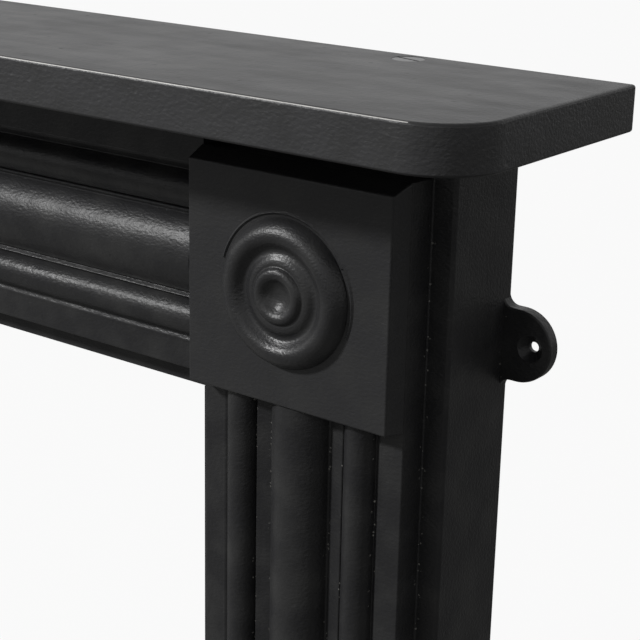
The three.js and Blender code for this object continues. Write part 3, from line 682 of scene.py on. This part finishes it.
# ---- Shelf ----
def build_shelf():
    s, p = places()
    half, front, back = p.return_out + SHELF_OVERHANG, SHELF_BOX[0].y, p.wall_y
    piece = brick("mantel_shelf_casting", (-half, front, p.shelf_underside), (half, back, p.shelf_top))
    upright = lambda e: abs(e.verts[0].co.z - e.verts[1].co.z) > MM
    soften(piece, lambda e: upright(e) and e.verts[0].co.y < 0, s.shelf_radius, 32)
    rim = lambda e: abs(e.verts[0].co.z - e.verts[1].co.z) < MM and crease(e, 60)
    soften(piece, rim, s.shelf_arris, 5)
    cut(piece, shelf_cells(s, p, half, front, back))
    # the ribs' lower edges lie above the rim's
    reach, low = half - s.shelf_rim - 30 * MM, p.shelf_underside
    corner = (reach, back - s.shelf_rim, low + 2 * MM)
    cut(piece, brick("rib_setting", (-reach, front + s.shelf_rim, low - MM), corner))
    mouth, bore = 11.0 * MM, SCREW_HOLE
    start, end = low - MM, p.shelf_top + MM
    for k in SIDES:
        at = (k * p.screw_x, p.screw_y)
        weld(piece, rod("boss", (*at, low), (*at, p.shelf_top - s.shelf_plate + MM), SHELF_BOSS, 40))
        cut(piece, turned("hole", (*at, 0), Z, [
            (0, start), (bore, start), (bore, end - mouth + bore), (mouth, end), (0, end),
        ], 64))
    finish(piece, iron("handled"), "mantel_shelf")
    # the edge keeps its as-cast skin and the arris above it is rubbed; a band of the front arris is painted
    # paler, partly as polish wear from hands and partly as a painted highlight
    middle = lambda f: f.calc_center_median()
    ahead = lambda f: middle(f).y < front + MM
    outer = lambda f: abs(middle(f).x) > half - s.shelf_radius or ahead(f)
    arris = lambda f: 0.3 <= f.normal.z < 0.98 and middle(f).z > p.shelf_top - 3 * MM
    reskin(piece, "as_cast", lambda f: abs(f.normal.z) < 0.3 and outer(f) and middle(f).z > low + MM)
    reskin(piece, "rubbed", lambda f: arris(f) and outer(f))
    # paler metallic band on the front arris: polish wear and a painted highlight
    reskin(piece, "polished_and_highlight", lambda f: arris(f) and ahead(f) and 0.5 < f.normal.z < 0.9)


def reskin(piece, skin, test):
    """Give another skin of iron to the faces that pass the test."""
    piece.data.materials.append(iron(skin))
    edit(piece)
    pick(piece, "FACE", test)
    piece.active_material_index = len(piece.data.materials) - 1
    bpy.ops.object.material_slot_assign()
    done()


def shelf_cells(s, p, half, front, back):
    """Cutter for the two rows of cells under the shelf: a grid, its front corners rounded, each face inset
    on its own and raised."""
    step = s.shelf_rim - s.shelf_rib / 2
    low, high = Vector((-half + step, front + step, 0)), Vector((half - step, back - step, 0))
    start = p.shelf_underside - MM
    piece = fresh("cells", bpy.ops.mesh.primitive_grid_add, x_subdivisions=12, y_subdivisions=2, size=1)
    edit(piece)
    bpy.ops.transform.resize(value=(high.x - low.x, high.y - low.y, 1), center_override=(0, 0, 0))
    bpy.ops.transform.translate(value=(low + high) / 2 + Vector((0, 0, start)))
    pick(piece, "VERT", lambda v: v.co.y < front + step + MM and abs(v.co.x) > half - step - MM)
    bpy.ops.mesh.bevel(offset=s.shelf_radius - step, segments=12, affect="VERTICES", clamp_overlap=False)
    bpy.ops.mesh.select_mode(type="FACE")
    bpy.ops.mesh.select_all(action="SELECT")
    bpy.ops.mesh.inset(thickness=s.shelf_rib / 2, use_individual=True)
    bpy.ops.mesh.select_all(action="INVERT")
    bpy.ops.mesh.delete(type="FACE")
    bpy.ops.mesh.select_all(action="SELECT")
    depth = s.shelf_thickness - s.shelf_plate + MM
    bpy.ops.mesh.extrude_region_move(TRANSFORM_OT_translate={"value": (0, 0, depth)})
    # the lower ends are filled where the extrusion has left them open
    bpy.ops.mesh.select_mode(type="EDGE")
    bpy.ops.mesh.select_all(action="DESELECT")
    bpy.ops.mesh.select_non_manifold(
        extend=False, use_wire=False, use_multi_face=False, use_non_contiguous=False, use_verts=False
    )
    if any(e.select for e in bmesh.from_edit_mesh(piece.data).edges):
        bpy.ops.mesh.edge_face_add()
    return tidy(piece)


# ---- Corner blocks ----
def bedding_arc(s, at, radius, start, sweep):
    """Paste squeezed out beside the roundel: a low ridge, drawn as a closed line and spun part way."""
    half = 1.2 * MM
    piece = single_point("bedding", at + (radius - half) * X + MM * Y)
    draw((at, X, Y), [
        (radius - half, MM), (radius + half, MM), (radius + half, 0), (radius, -s.bedding),
        (radius - half, 0), (radius - half, MM),
    ])
    bpy.ops.mesh.select_all(action="SELECT")
    bpy.ops.mesh.remove_doubles(threshold=TOUCH)
    bpy.ops.mesh.edge_face_add()
    bpy.ops.transform.rotate(value=math.radians(start), orient_axis="Y", center_override=at)
    bpy.ops.mesh.spin(steps=40, angle=math.radians(sweep), center=at, axis=Y)
    return tidy(piece)


def build_corner_blocks():
    s, p = places()
    half = Vector((p.block_width / 2, 0, p.block_height / 2))
    centre = Vector((p.block_x, 0, p.block_z))
    low, high = centre - half, centre + half
    low.y, high.y = p.block_y, p.block_back
    piece = drafted_brick("corner_block_right_casting", low, high, s.block_draft)
    edit(piece)
    pick(piece, "VERT", lambda v: v.co.y > low.y + MM and v.co.z > centre.z)
    bpy.ops.transform.translate(value=(0, 0, s.block_slope))
    done()
    soften(piece, lambda e: min(v.co.y for v in e.verts) < p.block_y + MM, s.edge_round * 1.3, 4)
    inset = Vector((s.block_wall, 0, s.block_wall))
    low, high = low + inset, high - inset
    low.y, high.y = p.block_y + s.block_wall, p.panel_y
    cut(piece, brick("hollow", low, high))
    weld(piece, rod("boss", centre + (p.block_y + MM) * Y, centre + p.block_back * Y, BLOCK_BOSS, 40))
    for k in (-1, 1):
        at = centre + Vector((k * p.peg_across, 0, -k * p.peg_up))
        weld(piece, rod("boss", at + (p.block_y + MM) * Y, at + p.block_back * Y, PEG_BOSS))
        weld(piece, rod("peg", at + (p.block_y + MM) * Y, at + (p.panel_y + PEG_LENGTH) * Y, PEG_RADIUS))
    bore, socket, hole, end = SPIGOT_RADIUS + s.gap, SPIGOT_LENGTH + s.gap, BOLT_HOLE, s.block_rise + MM
    cut(piece, turned("socket", centre + p.block_y * Y, Y, [
        (0, -MM), (bore, -MM), (bore, socket), (hole, socket), (hole, end), (0, end),
    ], 48))
    # each arc's start and sweep in degrees, then its radius and shift in millimetres
    for start, sweep, radius, across, rise in ((28, 136, 47.7, -0.6, 0.9), (-22, 54, 48.2, 1.0, 0.2)):
        at = centre + Vector((across * MM, p.block_y, rise * MM))
        weld(piece, bedding_arc(s, at, radius * MM, start, sweep))
    finish_pair(piece, "corner_block", "faced")


# ---- Roundels ----
def smooth_line(points, steps):
    """Points along a smooth curve through the given ones."""
    line = []
    for i in range(len(points) - 1):
        a, b, c, d = (Vector(points[min(max(i + k, 0), len(points) - 1)]) for k in (-1, 0, 1, 2))
        for k in range(steps):
            t = k / steps
            bend, twist = 2 * a - 5 * b + 4 * c - d, 3 * b - 3 * c + d - a
            curve = 2 * b + (c - a) * t + bend * t * t + twist * t ** 3
            line.append(tuple(curve / 2))
    return line + [points[-1]]


def build_roundels():
    s, p = places()
    # radius as a share of the roundel's, height as a share of the ring's: dimple, lip, bead, cove and ring
    line = [
        (0, 0.36), (0.092, 0.42), (0.175, 0.64), (0.237, 0.92), (0.29, 1.03), (0.338, 0.98),
        (0.371, 0.82), (0.39, 0.71), (0.425, 0.71), (0.47, 0.66), (0.504, 0.57), (0.535, 0.47),
        (0.57, 0.42), (0.605, 0.46),
        (0.645, 0.62), (0.69, 0.83), (0.735, 0.96), (0.785, 1), (0.838, 0.95), (0.89, 0.8), (0.938, 0.56),
        (0.974, 0.28), (0.995, 0.06), (1, 0),
    ]
    radius, rise, spigot, socket, roof = s.roundel_radius, s.ring_rise, SPIGOT_RADIUS, STUD_SOCKET, 0.6 * MM
    profile = smooth_line([(r * radius, h * rise) for r, h in line], 4)
    profile[0] = (0, line[0][1] * rise)
    profile += [(spigot, 0), (spigot, -SPIGOT_LENGTH), (socket, -SPIGOT_LENGTH), (socket, roof), (0, roof)]
    at = (p.block_x, p.block_y - s.gap, p.block_z)
    piece = turned("roundel_right_casting", at, -Y, profile, 128)
    finish_pair(piece, "roundel", "handled_ring")


# ---- Plinth blocks ----
def build_plinth_blocks():
    s, p = places()
    half = p.block_width / 2
    low = Vector((p.block_x - half, p.plinth_y, 0))
    high = Vector((p.block_x + half, p.block_back, s.plinth_height))
    piece = brick("plinth_block_right_casting", low, high)
    edit(piece)
    pick(piece, "VERT", lambda v: v.co.y > 0)
    middle = ((low.x + high.x) / 2, 0, 0)
    bpy.ops.transform.resize(value=(1 + 2 * s.block_draft / p.block_width, 1, 1), center_override=middle)
    done()
    top_front = lambda e: all(v.co.y < p.plinth_y + MM and v.co.z > s.plinth_height - MM for v in e.verts)
    soften(piece, top_front, PLINTH_BEVEL, 1)
    front = lambda e: crease(e, 20) and min(v.co.y for v in e.verts) < p.plinth_y + PLINTH_BEVEL + MM
    soften(piece, front, s.edge_round * 1.3, 4)
    low = Vector((p.block_x - half + s.block_wall, p.plinth_y + s.block_wall, -MM))
    high = Vector((p.block_x + half - s.block_wall, p.panel_y, s.plinth_height - s.block_wall))
    cut(piece, brick("hollow", low, high))
    for z in STUD_HEIGHTS:
        weld(piece, rod("boss", (p.block_x, p.plinth_y + MM, z), (p.block_x, p.block_back, z), PLINTH_BOSS))
        roof = p.plinth_y + 4 * MM
        cut(piece, rod("socket", (p.block_x, roof, z), (p.block_x, p.panel_y, z), STUD_SOCKET))
    finish_pair(piece, "plinth_block", "faced")


# ---- Fasteners ----
FASTENER_AXES = {"roundel": Y, "plinth": Y, "frieze": X, "shelf": Z}
TURNS = {"X": (math.pi / 2, 0, math.pi / 2), "Y": (math.pi / 2, 0, 0), "Z": (0, 0, 0)}


def hexagon(name, at, axis, flats, height):
    """A hexagon with its corners turned off at both ends, from a place along an axis."""
    letter = "XYZ"[max(range(3), key=lambda i: axis[i])]
    radius = flats / math.sqrt(3)
    piece = fresh(name, bpy.ops.mesh.primitive_cylinder_add, vertices=6, radius=radius, depth=height,
                  location=at + axis * height / 2, rotation=TURNS[letter])
    corner, ring, bevel = radius + 0.2 * MM, flats * 0.48, 1.1 * MM
    return combine(piece, turned("chamfers", at, axis, [
        (0, 0), (ring, 0), (corner, bevel), (corner, height - bevel), (ring, height), (0, height),
    ], 48), "INTERSECT")


def threaded(name, at, axis, radius, plain, reach):
    """A shank from a place along an axis: plain at first, then ridged by its thread, its end chamfered."""
    pitch, depth = 1.25 * MM, 0.55 * MM
    profile, ridge = [(0, 0), (radius, 0), (radius, plain)], plain
    while ridge + pitch < reach - depth:
        profile += [(radius - depth, ridge + pitch / 2), (radius, ridge + pitch)]
        ridge += pitch
    return turned(name, at, axis, profile + [(radius - depth, reach), (0, reach)], 32)


def washer(name, at, axis, radius, bore, thick):
    edge = 0.25 * MM
    return turned(name, at, axis, [
        (bore, 0), (radius - edge, 0), (radius, edge), (radius, thick - edge), (radius - edge, thick),
        (bore, thick), (bore, 0),
    ], 64)


def countersunk(name, s, p, low, high):
    """The shelf's screw: a slotted head flush with the shelf, its slot half full of paste."""
    at = Vector((p.screw_x, p.screw_y, 0))
    top, head, shank = p.shelf_top - 0.2 * MM, 10.7 * MM, SCREW_RADIUS
    piece = turned(name, at, Z, [
        (0, low.z), (shank - 0.6 * MM, low.z), (shank, low.z + MM), (shank, top - head + shank - MM),
        (head, top - MM), (head, top - 0.4 * MM), (head - 0.4 * MM, top), (0, top),
    ], 64)
    reach, half, depth = 13 * MM, 0.9 * MM, 0.8 * MM
    slot = brick("slot", at + Vector((-reach, -half, top - depth)), at + Vector((reach, half, top + MM)))
    edit(slot)
    bpy.ops.transform.rotate(value=math.radians(14), orient_axis="Z", center_override=at)
    done()
    return cut(piece, slot)


def fastener(s, p, name):
    """One screw, stud, bolt, washer or nut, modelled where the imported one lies."""
    low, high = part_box(name)
    axis = FASTENER_AXES[name.split("_")[0]]
    kind = name.split("_")[1]
    start = Vector([low[i] if axis[i] else (low[i] + high[i]) / 2 for i in range(3)])
    reach = (high - low).dot(axis)
    width = min(high[i] - low[i] for i in range(3) if not axis[i])
    new = f"{name}_turned"
    if kind == "stud":
        return threaded(new, start, axis, width / 2, reach * 0.55, reach)
    if kind == "washer":
        return washer(new, start, axis, width / 2, BOLT_HOLE, reach)
    if kind == "nut":
        bore = (SCREW_RADIUS if name.startswith("shelf") else BOLT_RADIUS) + NUT_GAP
        piece = hexagon(new, start, axis, width, reach)
        return cut(piece, rod("bore", start - MM * axis, start + (reach + MM) * axis, bore, 40))
    if kind == "bolt":
        head = hexagon(new, start + (reach - BOLT_HEAD) * axis, axis, width, BOLT_HEAD)
        inside = reach - 6 * MM  # the shank's root lies in the head
        return weld(head, threaded("shank", start + inside * axis, -axis, BOLT_RADIUS, 10 * MM, inside))
    return countersunk(new, s, p, low, high)


def build_fasteners():
    s, p = places()
    for name in sorted(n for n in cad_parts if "_right" in n and n.split("_")[0] in FASTENER_AXES):
        kind = name.split("_")[1]
        if kind not in ("stud", "washer", "nut", "bolt", "screw"):
            continue
        piece = fastener(s, p, name)
        other = name.replace("_right", "_left")
        left = mirrored(piece, f"{other}_turned")
        for made, node_name in ((piece, name), (left, other)):
            finish(made, steel(), node_name)
            if kind == "screw":
                # the head is pasted and blacked over with the shelf
                reskin(made, "filled", lambda f: f.calc_center_median().z > p.shelf_top - 2 * MM)


# ---- Materials ----
def node(tree, kind, links=(), **settings):
    """Add a shader node. Settings name its properties, or its inputs by position as i0, i1 and so on; links
    are pairs of an input and the output socket that feeds it."""
    made = tree.nodes.new(kind)
    for name, value in settings.items():
        if name[0] == "i" and name[1:].isdigit():
            made.inputs[int(name[1:])].default_value = value
        else:
            setattr(made, name, value)
    for target, source in links:
        tree.links.new(made.inputs[target], source)
    return made


def new_material(name):
    material = bpy.data.materials.get(name)
    if material:
        return material, None, None
    material = bpy.data.materials.new(name)
    material.use_nodes = True
    tree = material.node_tree
    tree.nodes.clear()
    shader = node(tree, "ShaderNodeBsdfPrincipled")
    node(tree, "ShaderNodeOutputMaterial", [(0, shader.outputs[0])])
    return material, tree, shader


def math_node(tree, operation, first, second=0.0, clamp=False):
    """One sum on two values, each a number or an output socket."""
    made = node(tree, "ShaderNodeMath", operation=operation, use_clamp=clamp)
    for socket, value in zip(made.inputs, (first, second)):
        if isinstance(value, bpy.types.NodeSocket):
            tree.links.new(socket, value)
        else:
            socket.default_value = value
    return made.outputs[0]


def noise(tree, place, size, detail):
    """Noise whose grains are about this many millimetres across, as a value round one half."""
    return node(tree, "ShaderNodeTexNoise", [("Vector", place)], i2=1 / (size * MM), i3=detail).outputs[0]


# Each skin: grain size and height and pit size and depth in millimetres, the share of places without a pit,
# colour, the roughness of its glossiest and dullest places, and how strongly it shines.
SKINS = {
    "rubbed": (1.9, 0.32, 4.5, 0.16, 0.74, "iron", (0.33, 0.41), 0.14),
    "faced": (1.9, 0.30, 4.5, 0.14, 0.76, "iron_faced", (0.36, 0.44), 0.18),
    "grooved": (1.9, 0.36, 4.5, 0.20, 0.70, "iron", (0.33, 0.42), 0.16),
    "handled": (1.9, 0.22, 5.5, 0.20, 0.86, "iron", (0.40, 0.48), 0.17),
    "handled_ring": (1.3, 0.28, 4.0, 0.18, 0.74, "iron", (0.32, 0.40), 0.25),
    "as_cast": (2.0, 0.38, 5.2, 0.34, 0.66, "iron_skin", (0.36, 0.46), 0.19),
    # the paler colour of this skin is partly polish wear and partly a painted highlight
    "polished_and_highlight": (2.4, 0.06, 6.0, 0.06, 0.90, "iron_polish_and_highlight", (0.46, 0.54), 0.50),
    "filled": (2.4, 0.12, 6.0, 0.12, 0.80, "iron", (0.28, 0.34), 0.30),
}


def relief(tree, shader, height):
    """Bump the surface by a height in millimetres."""
    bump = node(tree, "ShaderNodeBump", [("Height", height)])
    bump.inputs["Strength"].default_value = 1.0
    bump.inputs["Distance"].default_value = MM
    tree.links.new(shader.inputs["Normal"], bump.outputs[0])


def gritty(tree, place, ground, grit):
    """Pale crumbs on a colour, only where two faces meet in a groove."""
    hollow = node(tree, "ShaderNodeAmbientOcclusion", samples=6, i1=5 * MM)
    deep = node(tree, "ShaderNodeMapRange", [(0, hollow.outputs["AO"])], i1=0.78, i2=0.6, i3=0.0, i4=1.0)
    crumbs = node(tree, "ShaderNodeTexVoronoi", [("Vector", place)], i2=1 / (2.4 * MM))
    crumb = math_node(tree, "LESS_THAN", crumbs.outputs["Distance"], 0.27)
    rare = math_node(tree, "GREATER_THAN", crumbs.outputs["Color"], 0.76)
    share = math_node(tree, "MULTIPLY", deep.outputs[0], math_node(tree, "MULTIPLY", crumb, rare))
    return node(tree, "ShaderNodeMix", [(0, share), (6, ground)], data_type="RGBA", i7=grit).outputs[2]


def iron(skin="rubbed"):
    """Sand-cast grey iron, blackened and rubbed to a satin. The sand leaves a fine grain and small pits
    that break up the highlights, the face wanders a little so that they waver, and rubbing leaves paler
    patches. Grooved castings keep pale grit where faces meet. The as-cast skin is the most pitted, and the
    handled one on the shelf's top is the dullest. Its front arris is painted paler, partly as polish wear
    and partly as a painted highlight."""
    material, tree, shader = new_material(f"blackened_cast_iron_{skin}")
    if not tree:
        return material
    colours = bpy.context.scene.surround_colours
    grain_size, grain_height, pit_size, pit_depth, plain, colour_name, gloss, shine = SKINS[skin]
    place = node(tree, "ShaderNodeTexCoord").outputs["Object"]

    # form, in millimetres: slow waves of the face, grain of the sand, pits
    form = math_node(tree, "MULTIPLY", noise(tree, place, 30, 1.0), 0.7)
    drawn = node(tree, "ShaderNodeMapping", [(0, place)], i3=(0.6, 1, 1)).outputs[0]
    grain = math_node(tree, "MULTIPLY", noise(tree, drawn, grain_size, 3.0), grain_height)
    cells = node(tree, "ShaderNodeTexVoronoi", [("Vector", place)], i2=1 / (pit_size * MM))
    near = cells.outputs["Distance"]
    pit = node(tree, "ShaderNodeMapRange", [(0, near)], i1=0.08, i2=0.36, i3=1.0, i4=0.0)
    few = node(tree, "ShaderNodeMapRange", [(0, cells.outputs["Color"])], i1=plain, i2=1.0)
    pits = math_node(tree, "MULTIPLY", pit.outputs[0], few.outputs[0])
    form = math_node(tree, "ADD", form, grain)
    form = math_node(tree, "SUBTRACT", form, math_node(tree, "MULTIPLY", pits, pit_depth))
    relief(tree, shader, form)

    # colour: worn patches, on the front arris paler ones that are polish wear and a painted highlight, and
    # grit in the grooves that hold it
    patches = node(tree, "ShaderNodeMapRange", [(0, noise(tree, place, 26, 4.0))], i1=0.42, i2=0.72)
    over = colours.iron_polish_and_highlight if skin == "polished_and_highlight" else colours.iron_worn
    worn = node(tree, "ShaderNodeMix", [(0, patches.outputs[0])], data_type="RGBA",
                i6=getattr(colours, colour_name), i7=over)
    colour_out = worn.outputs[2]
    if skin == "grooved":
        colour_out = gritty(tree, place, colour_out, colours.grit)
    tree.links.new(shader.inputs["Base Color"], colour_out)

    # sheen: satin, smeared along the castings, duller in the pits
    along = node(tree, "ShaderNodeMapping", [(0, place)], i3=(0.3, 1, 0.6)).outputs[0]
    sheen = node(tree, "ShaderNodeMapRange", [(0, noise(tree, along, 22, 3.0))], i1=0.3, i2=0.7,
                 i3=gloss[0], i4=gloss[1])
    rough = math_node(tree, "ADD", sheen.outputs[0], math_node(tree, "MULTIPLY", pits, 0.2), clamp=True)
    tree.links.new(shader.inputs["Roughness"], rough)
    shader.inputs["Specular IOR Level"].default_value = shine
    if skin == "polished_and_highlight":
        shader.inputs["Metallic"].default_value = 1.0
    return material


def steel():
    """Plain mild steel, turned and a little oily: faint marks break up its highlights, and patches of dark
    scale dull it."""
    material, tree, shader = new_material("dull_mild_steel")
    if not tree:
        return material
    colours = bpy.context.scene.surround_colours
    place = node(tree, "ShaderNodeTexCoord").outputs["Object"]
    scale = node(tree, "ShaderNodeMapRange", [(0, noise(tree, place, 3, 4.0))], i1=0.45, i2=0.65)
    mixed = node(tree, "ShaderNodeMix", [(0, scale.outputs[0])], data_type="RGBA", i6=colours.steel,
                 i7=colours.steel_dark)
    tree.links.new(shader.inputs["Base Color"], mixed.outputs[2])
    rough = node(tree, "ShaderNodeMapRange", [(0, scale.outputs[0])], i3=0.36, i4=0.6)
    tree.links.new(shader.inputs["Roughness"], rough.outputs[0])
    relief(tree, shader, math_node(tree, "MULTIPLY", noise(tree, place, 0.5, 2.0), 0.02))
    shader.inputs["Metallic"].default_value = 1.0
    return material


# ---- Stage ----
def seen_rays(tree, reflected=1.0):
    """1 on the rays that show a place to the eye or through glass, this much on those that reflect it, and
    0 on those that light the object."""
    path = node(tree, "ShaderNodeLightPath")
    glossy = math_node(tree, "MULTIPLY", path.outputs["Is Glossy Ray"], reflected)
    rays = math_node(tree, "MAXIMUM", path.outputs["Is Camera Ray"], glossy)
    return math_node(tree, "MAXIMUM", rays, path.outputs["Is Transmission Ray"])


def build_stage():
    colours = bpy.context.scene.surround_colours
    floor = fresh("floor", bpy.ops.mesh.primitive_plane_add, size=40)
    material, tree, shader = new_material("pale_floor")
    shader.inputs["Base Color"].default_value = colours.floor
    shader.inputs["Roughness"].default_value = 0.9
    white = node(tree, "ShaderNodeEmission", i0=(1, 1, 1, 1), i1=1.0)
    # black iron reflects little of the white floor, and the floor keeps a trace of the object's shadow
    share = math_node(tree, "MULTIPLY", seen_rays(tree, 0.06), 0.94)
    mixed = node(tree, "ShaderNodeMixShader", [(0, share), (1, shader.outputs[0]), (2, white.outputs[0])])
    output = next(n for n in tree.nodes if n.type == "OUTPUT_MATERIAL")
    tree.links.new(output.inputs[0], mixed.outputs[0])
    floor.data.materials.append(material)
    world = bpy.data.worlds.new("studio")
    bpy.context.scene.world = world
    world.use_nodes = True
    tree = world.node_tree
    tree.nodes.clear()
    seen = node(tree, "ShaderNodeBackground", i0=(1, 1, 1, 1), i1=1.0)
    room = node(tree, "ShaderNodeBackground", i0=(1, 1, 1, 1), i1=0.4)
    links = [(0, seen_rays(tree)), (1, room.outputs[0]), (2, seen.outputs[0])]
    node(tree, "ShaderNodeOutputWorld", [(0, node(tree, "ShaderNodeMixShader", links).outputs[0])])
    lamp("key", (-2.2, -2.8, 3.3), (0.5, 0, 1.0), 0.45, 238)
    place_camera()


def lamp(name, at, target, size, watts):
    bpy.ops.object.select_all(action="DESELECT")
    bpy.ops.object.light_add(type="AREA", location=at)
    light = bpy.context.object
    light.name = light.data.name = name
    light.data.shape = "DISK"
    light.data.size = size
    light.data.energy = watts
    light.rotation_euler = (Vector(target) - Vector(at)).to_track_quat("-Z", "Y").to_euler()


def place_camera():
    """The photograph's viewpoint, for a square picture."""
    yaw, pitch, roll = (math.radians(a) for a in (36.93, -18.01, 1.24))
    ahead = Vector((-math.sin(yaw) * math.cos(pitch), math.cos(yaw) * math.cos(pitch), math.sin(pitch)))
    level = Vector((math.cos(yaw), math.sin(yaw), 0))
    above = level.cross(ahead)
    right = math.cos(roll) * level + math.sin(roll) * above
    up = math.cos(roll) * above - math.sin(roll) * level
    bpy.ops.object.camera_add(location=(1.1149, -0.7301, 1.3102))
    camera = bpy.context.object
    camera.name = camera.data.name = "camera"
    camera.rotation_euler = Matrix((right, up, -ahead)).transposed().to_euler()
    camera.data.sensor_width = 36
    camera.data.lens = 91.83
    bpy.context.scene.camera = camera


# ---- Operators ----
class SURROUND_OT_shelf(bpy.types.Operator):
    """Build the mantel shelf with its rounded corners and the ribs below"""

    bl_idname = "surround.shelf"
    bl_label = "Mantel shelf"

    def execute(self, context):
        build_shelf()
        return {"FINISHED"}


class SURROUND_OT_frieze(bpy.types.Operator):
    """Build the reeded frieze across the head of the opening"""

    bl_idname = "surround.frieze"
    bl_label = "Frieze"

    def execute(self, context):
        build_frieze()
        return {"FINISHED"}


class SURROUND_OT_jambs(bpy.types.Operator):
    """Build the two reeded jambs with their returns and wall lugs"""

    bl_idname = "surround.jambs"
    bl_label = "Jambs"

    def execute(self, context):
        build_jambs()
        return {"FINISHED"}


class SURROUND_OT_corner_blocks(bpy.types.Operator):
    """Build the two corner blocks"""

    bl_idname = "surround.corner_blocks"
    bl_label = "Corner blocks"

    def execute(self, context):
        build_corner_blocks()
        return {"FINISHED"}


class SURROUND_OT_roundels(bpy.types.Operator):
    """Turn the two ringed roundels"""

    bl_idname = "surround.roundels"
    bl_label = "Roundels"

    def execute(self, context):
        build_roundels()
        return {"FINISHED"}


class SURROUND_OT_plinth_blocks(bpy.types.Operator):
    """Build the two plinth blocks at the feet"""

    bl_idname = "surround.plinth_blocks"
    bl_label = "Plinth blocks"

    def execute(self, context):
        build_plinth_blocks()
        return {"FINISHED"}


class SURROUND_OT_fasteners(bpy.types.Operator):
    """Turn the screws, bolts, studs, nuts and washers"""

    bl_idname = "surround.fasteners"
    bl_label = "Fasteners"

    def execute(self, context):
        build_fasteners()
        return {"FINISHED"}


class SURROUND_OT_stage(bpy.types.Operator):
    """Lay the floor, hang the lights and set the camera"""

    bl_idname = "surround.stage"
    bl_label = "Stage"

    def execute(self, context):
        build_stage()
        return {"FINISHED"}


STEPS = [
    SURROUND_OT_shelf, SURROUND_OT_frieze, SURROUND_OT_jambs, SURROUND_OT_corner_blocks,
    SURROUND_OT_roundels, SURROUND_OT_plinth_blocks, SURROUND_OT_fasteners, SURROUND_OT_stage,
]


class SURROUND_PT_panel(bpy.types.Panel):
    """The steps of the surround, in order"""

    bl_idname = "SURROUND_PT_panel"
    bl_label = "Fireplace surround"
    bl_space_type = "VIEW_3D"
    bl_region_type = "UI"
    bl_category = "Surround"

    def draw(self, context):
        for step in STEPS:
            self.layout.operator(step.bl_idname)


CLASSES = [SurroundSizes, ReedingSizes, SurroundColours, *STEPS, SURROUND_PT_panel]


def register():
    for cls in CLASSES:
        bpy.utils.register_class(cls)
    scene = bpy.types.Scene
    scene.surround_sizes = bpy.props.PointerProperty(type=SurroundSizes)
    scene.jamb_reeding = bpy.props.PointerProperty(type=ReedingSizes)
    scene.frieze_reeding = bpy.props.PointerProperty(type=ReedingSizes)
    scene.surround_colours = bpy.props.PointerProperty(type=SurroundColours)


def unregister():
    scene = bpy.types.Scene
    del scene.surround_sizes, scene.jamb_reeding, scene.frieze_reeding, scene.surround_colours
    for cls in reversed(CLASSES):
        bpy.utils.unregister_class(cls)


def main():
    register()
    scene = bpy.context.scene
    scene.view_settings.view_transform = "Standard"
    # the frieze's middle reed is broader than the jambs', and its ridges are set closer
    for size, mm in {"main_half": 25.6, "ridge": 28.2, "reed_half": 11.8, "bead": 57.3}.items():
        setattr(scene.frieze_reeding, size, mm * MM)
    for step in STEPS:
        group, name = step.bl_idname.split(".")
        getattr(getattr(bpy.ops, group), name)()
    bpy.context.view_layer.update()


if __name__ == "__main__":
    main()
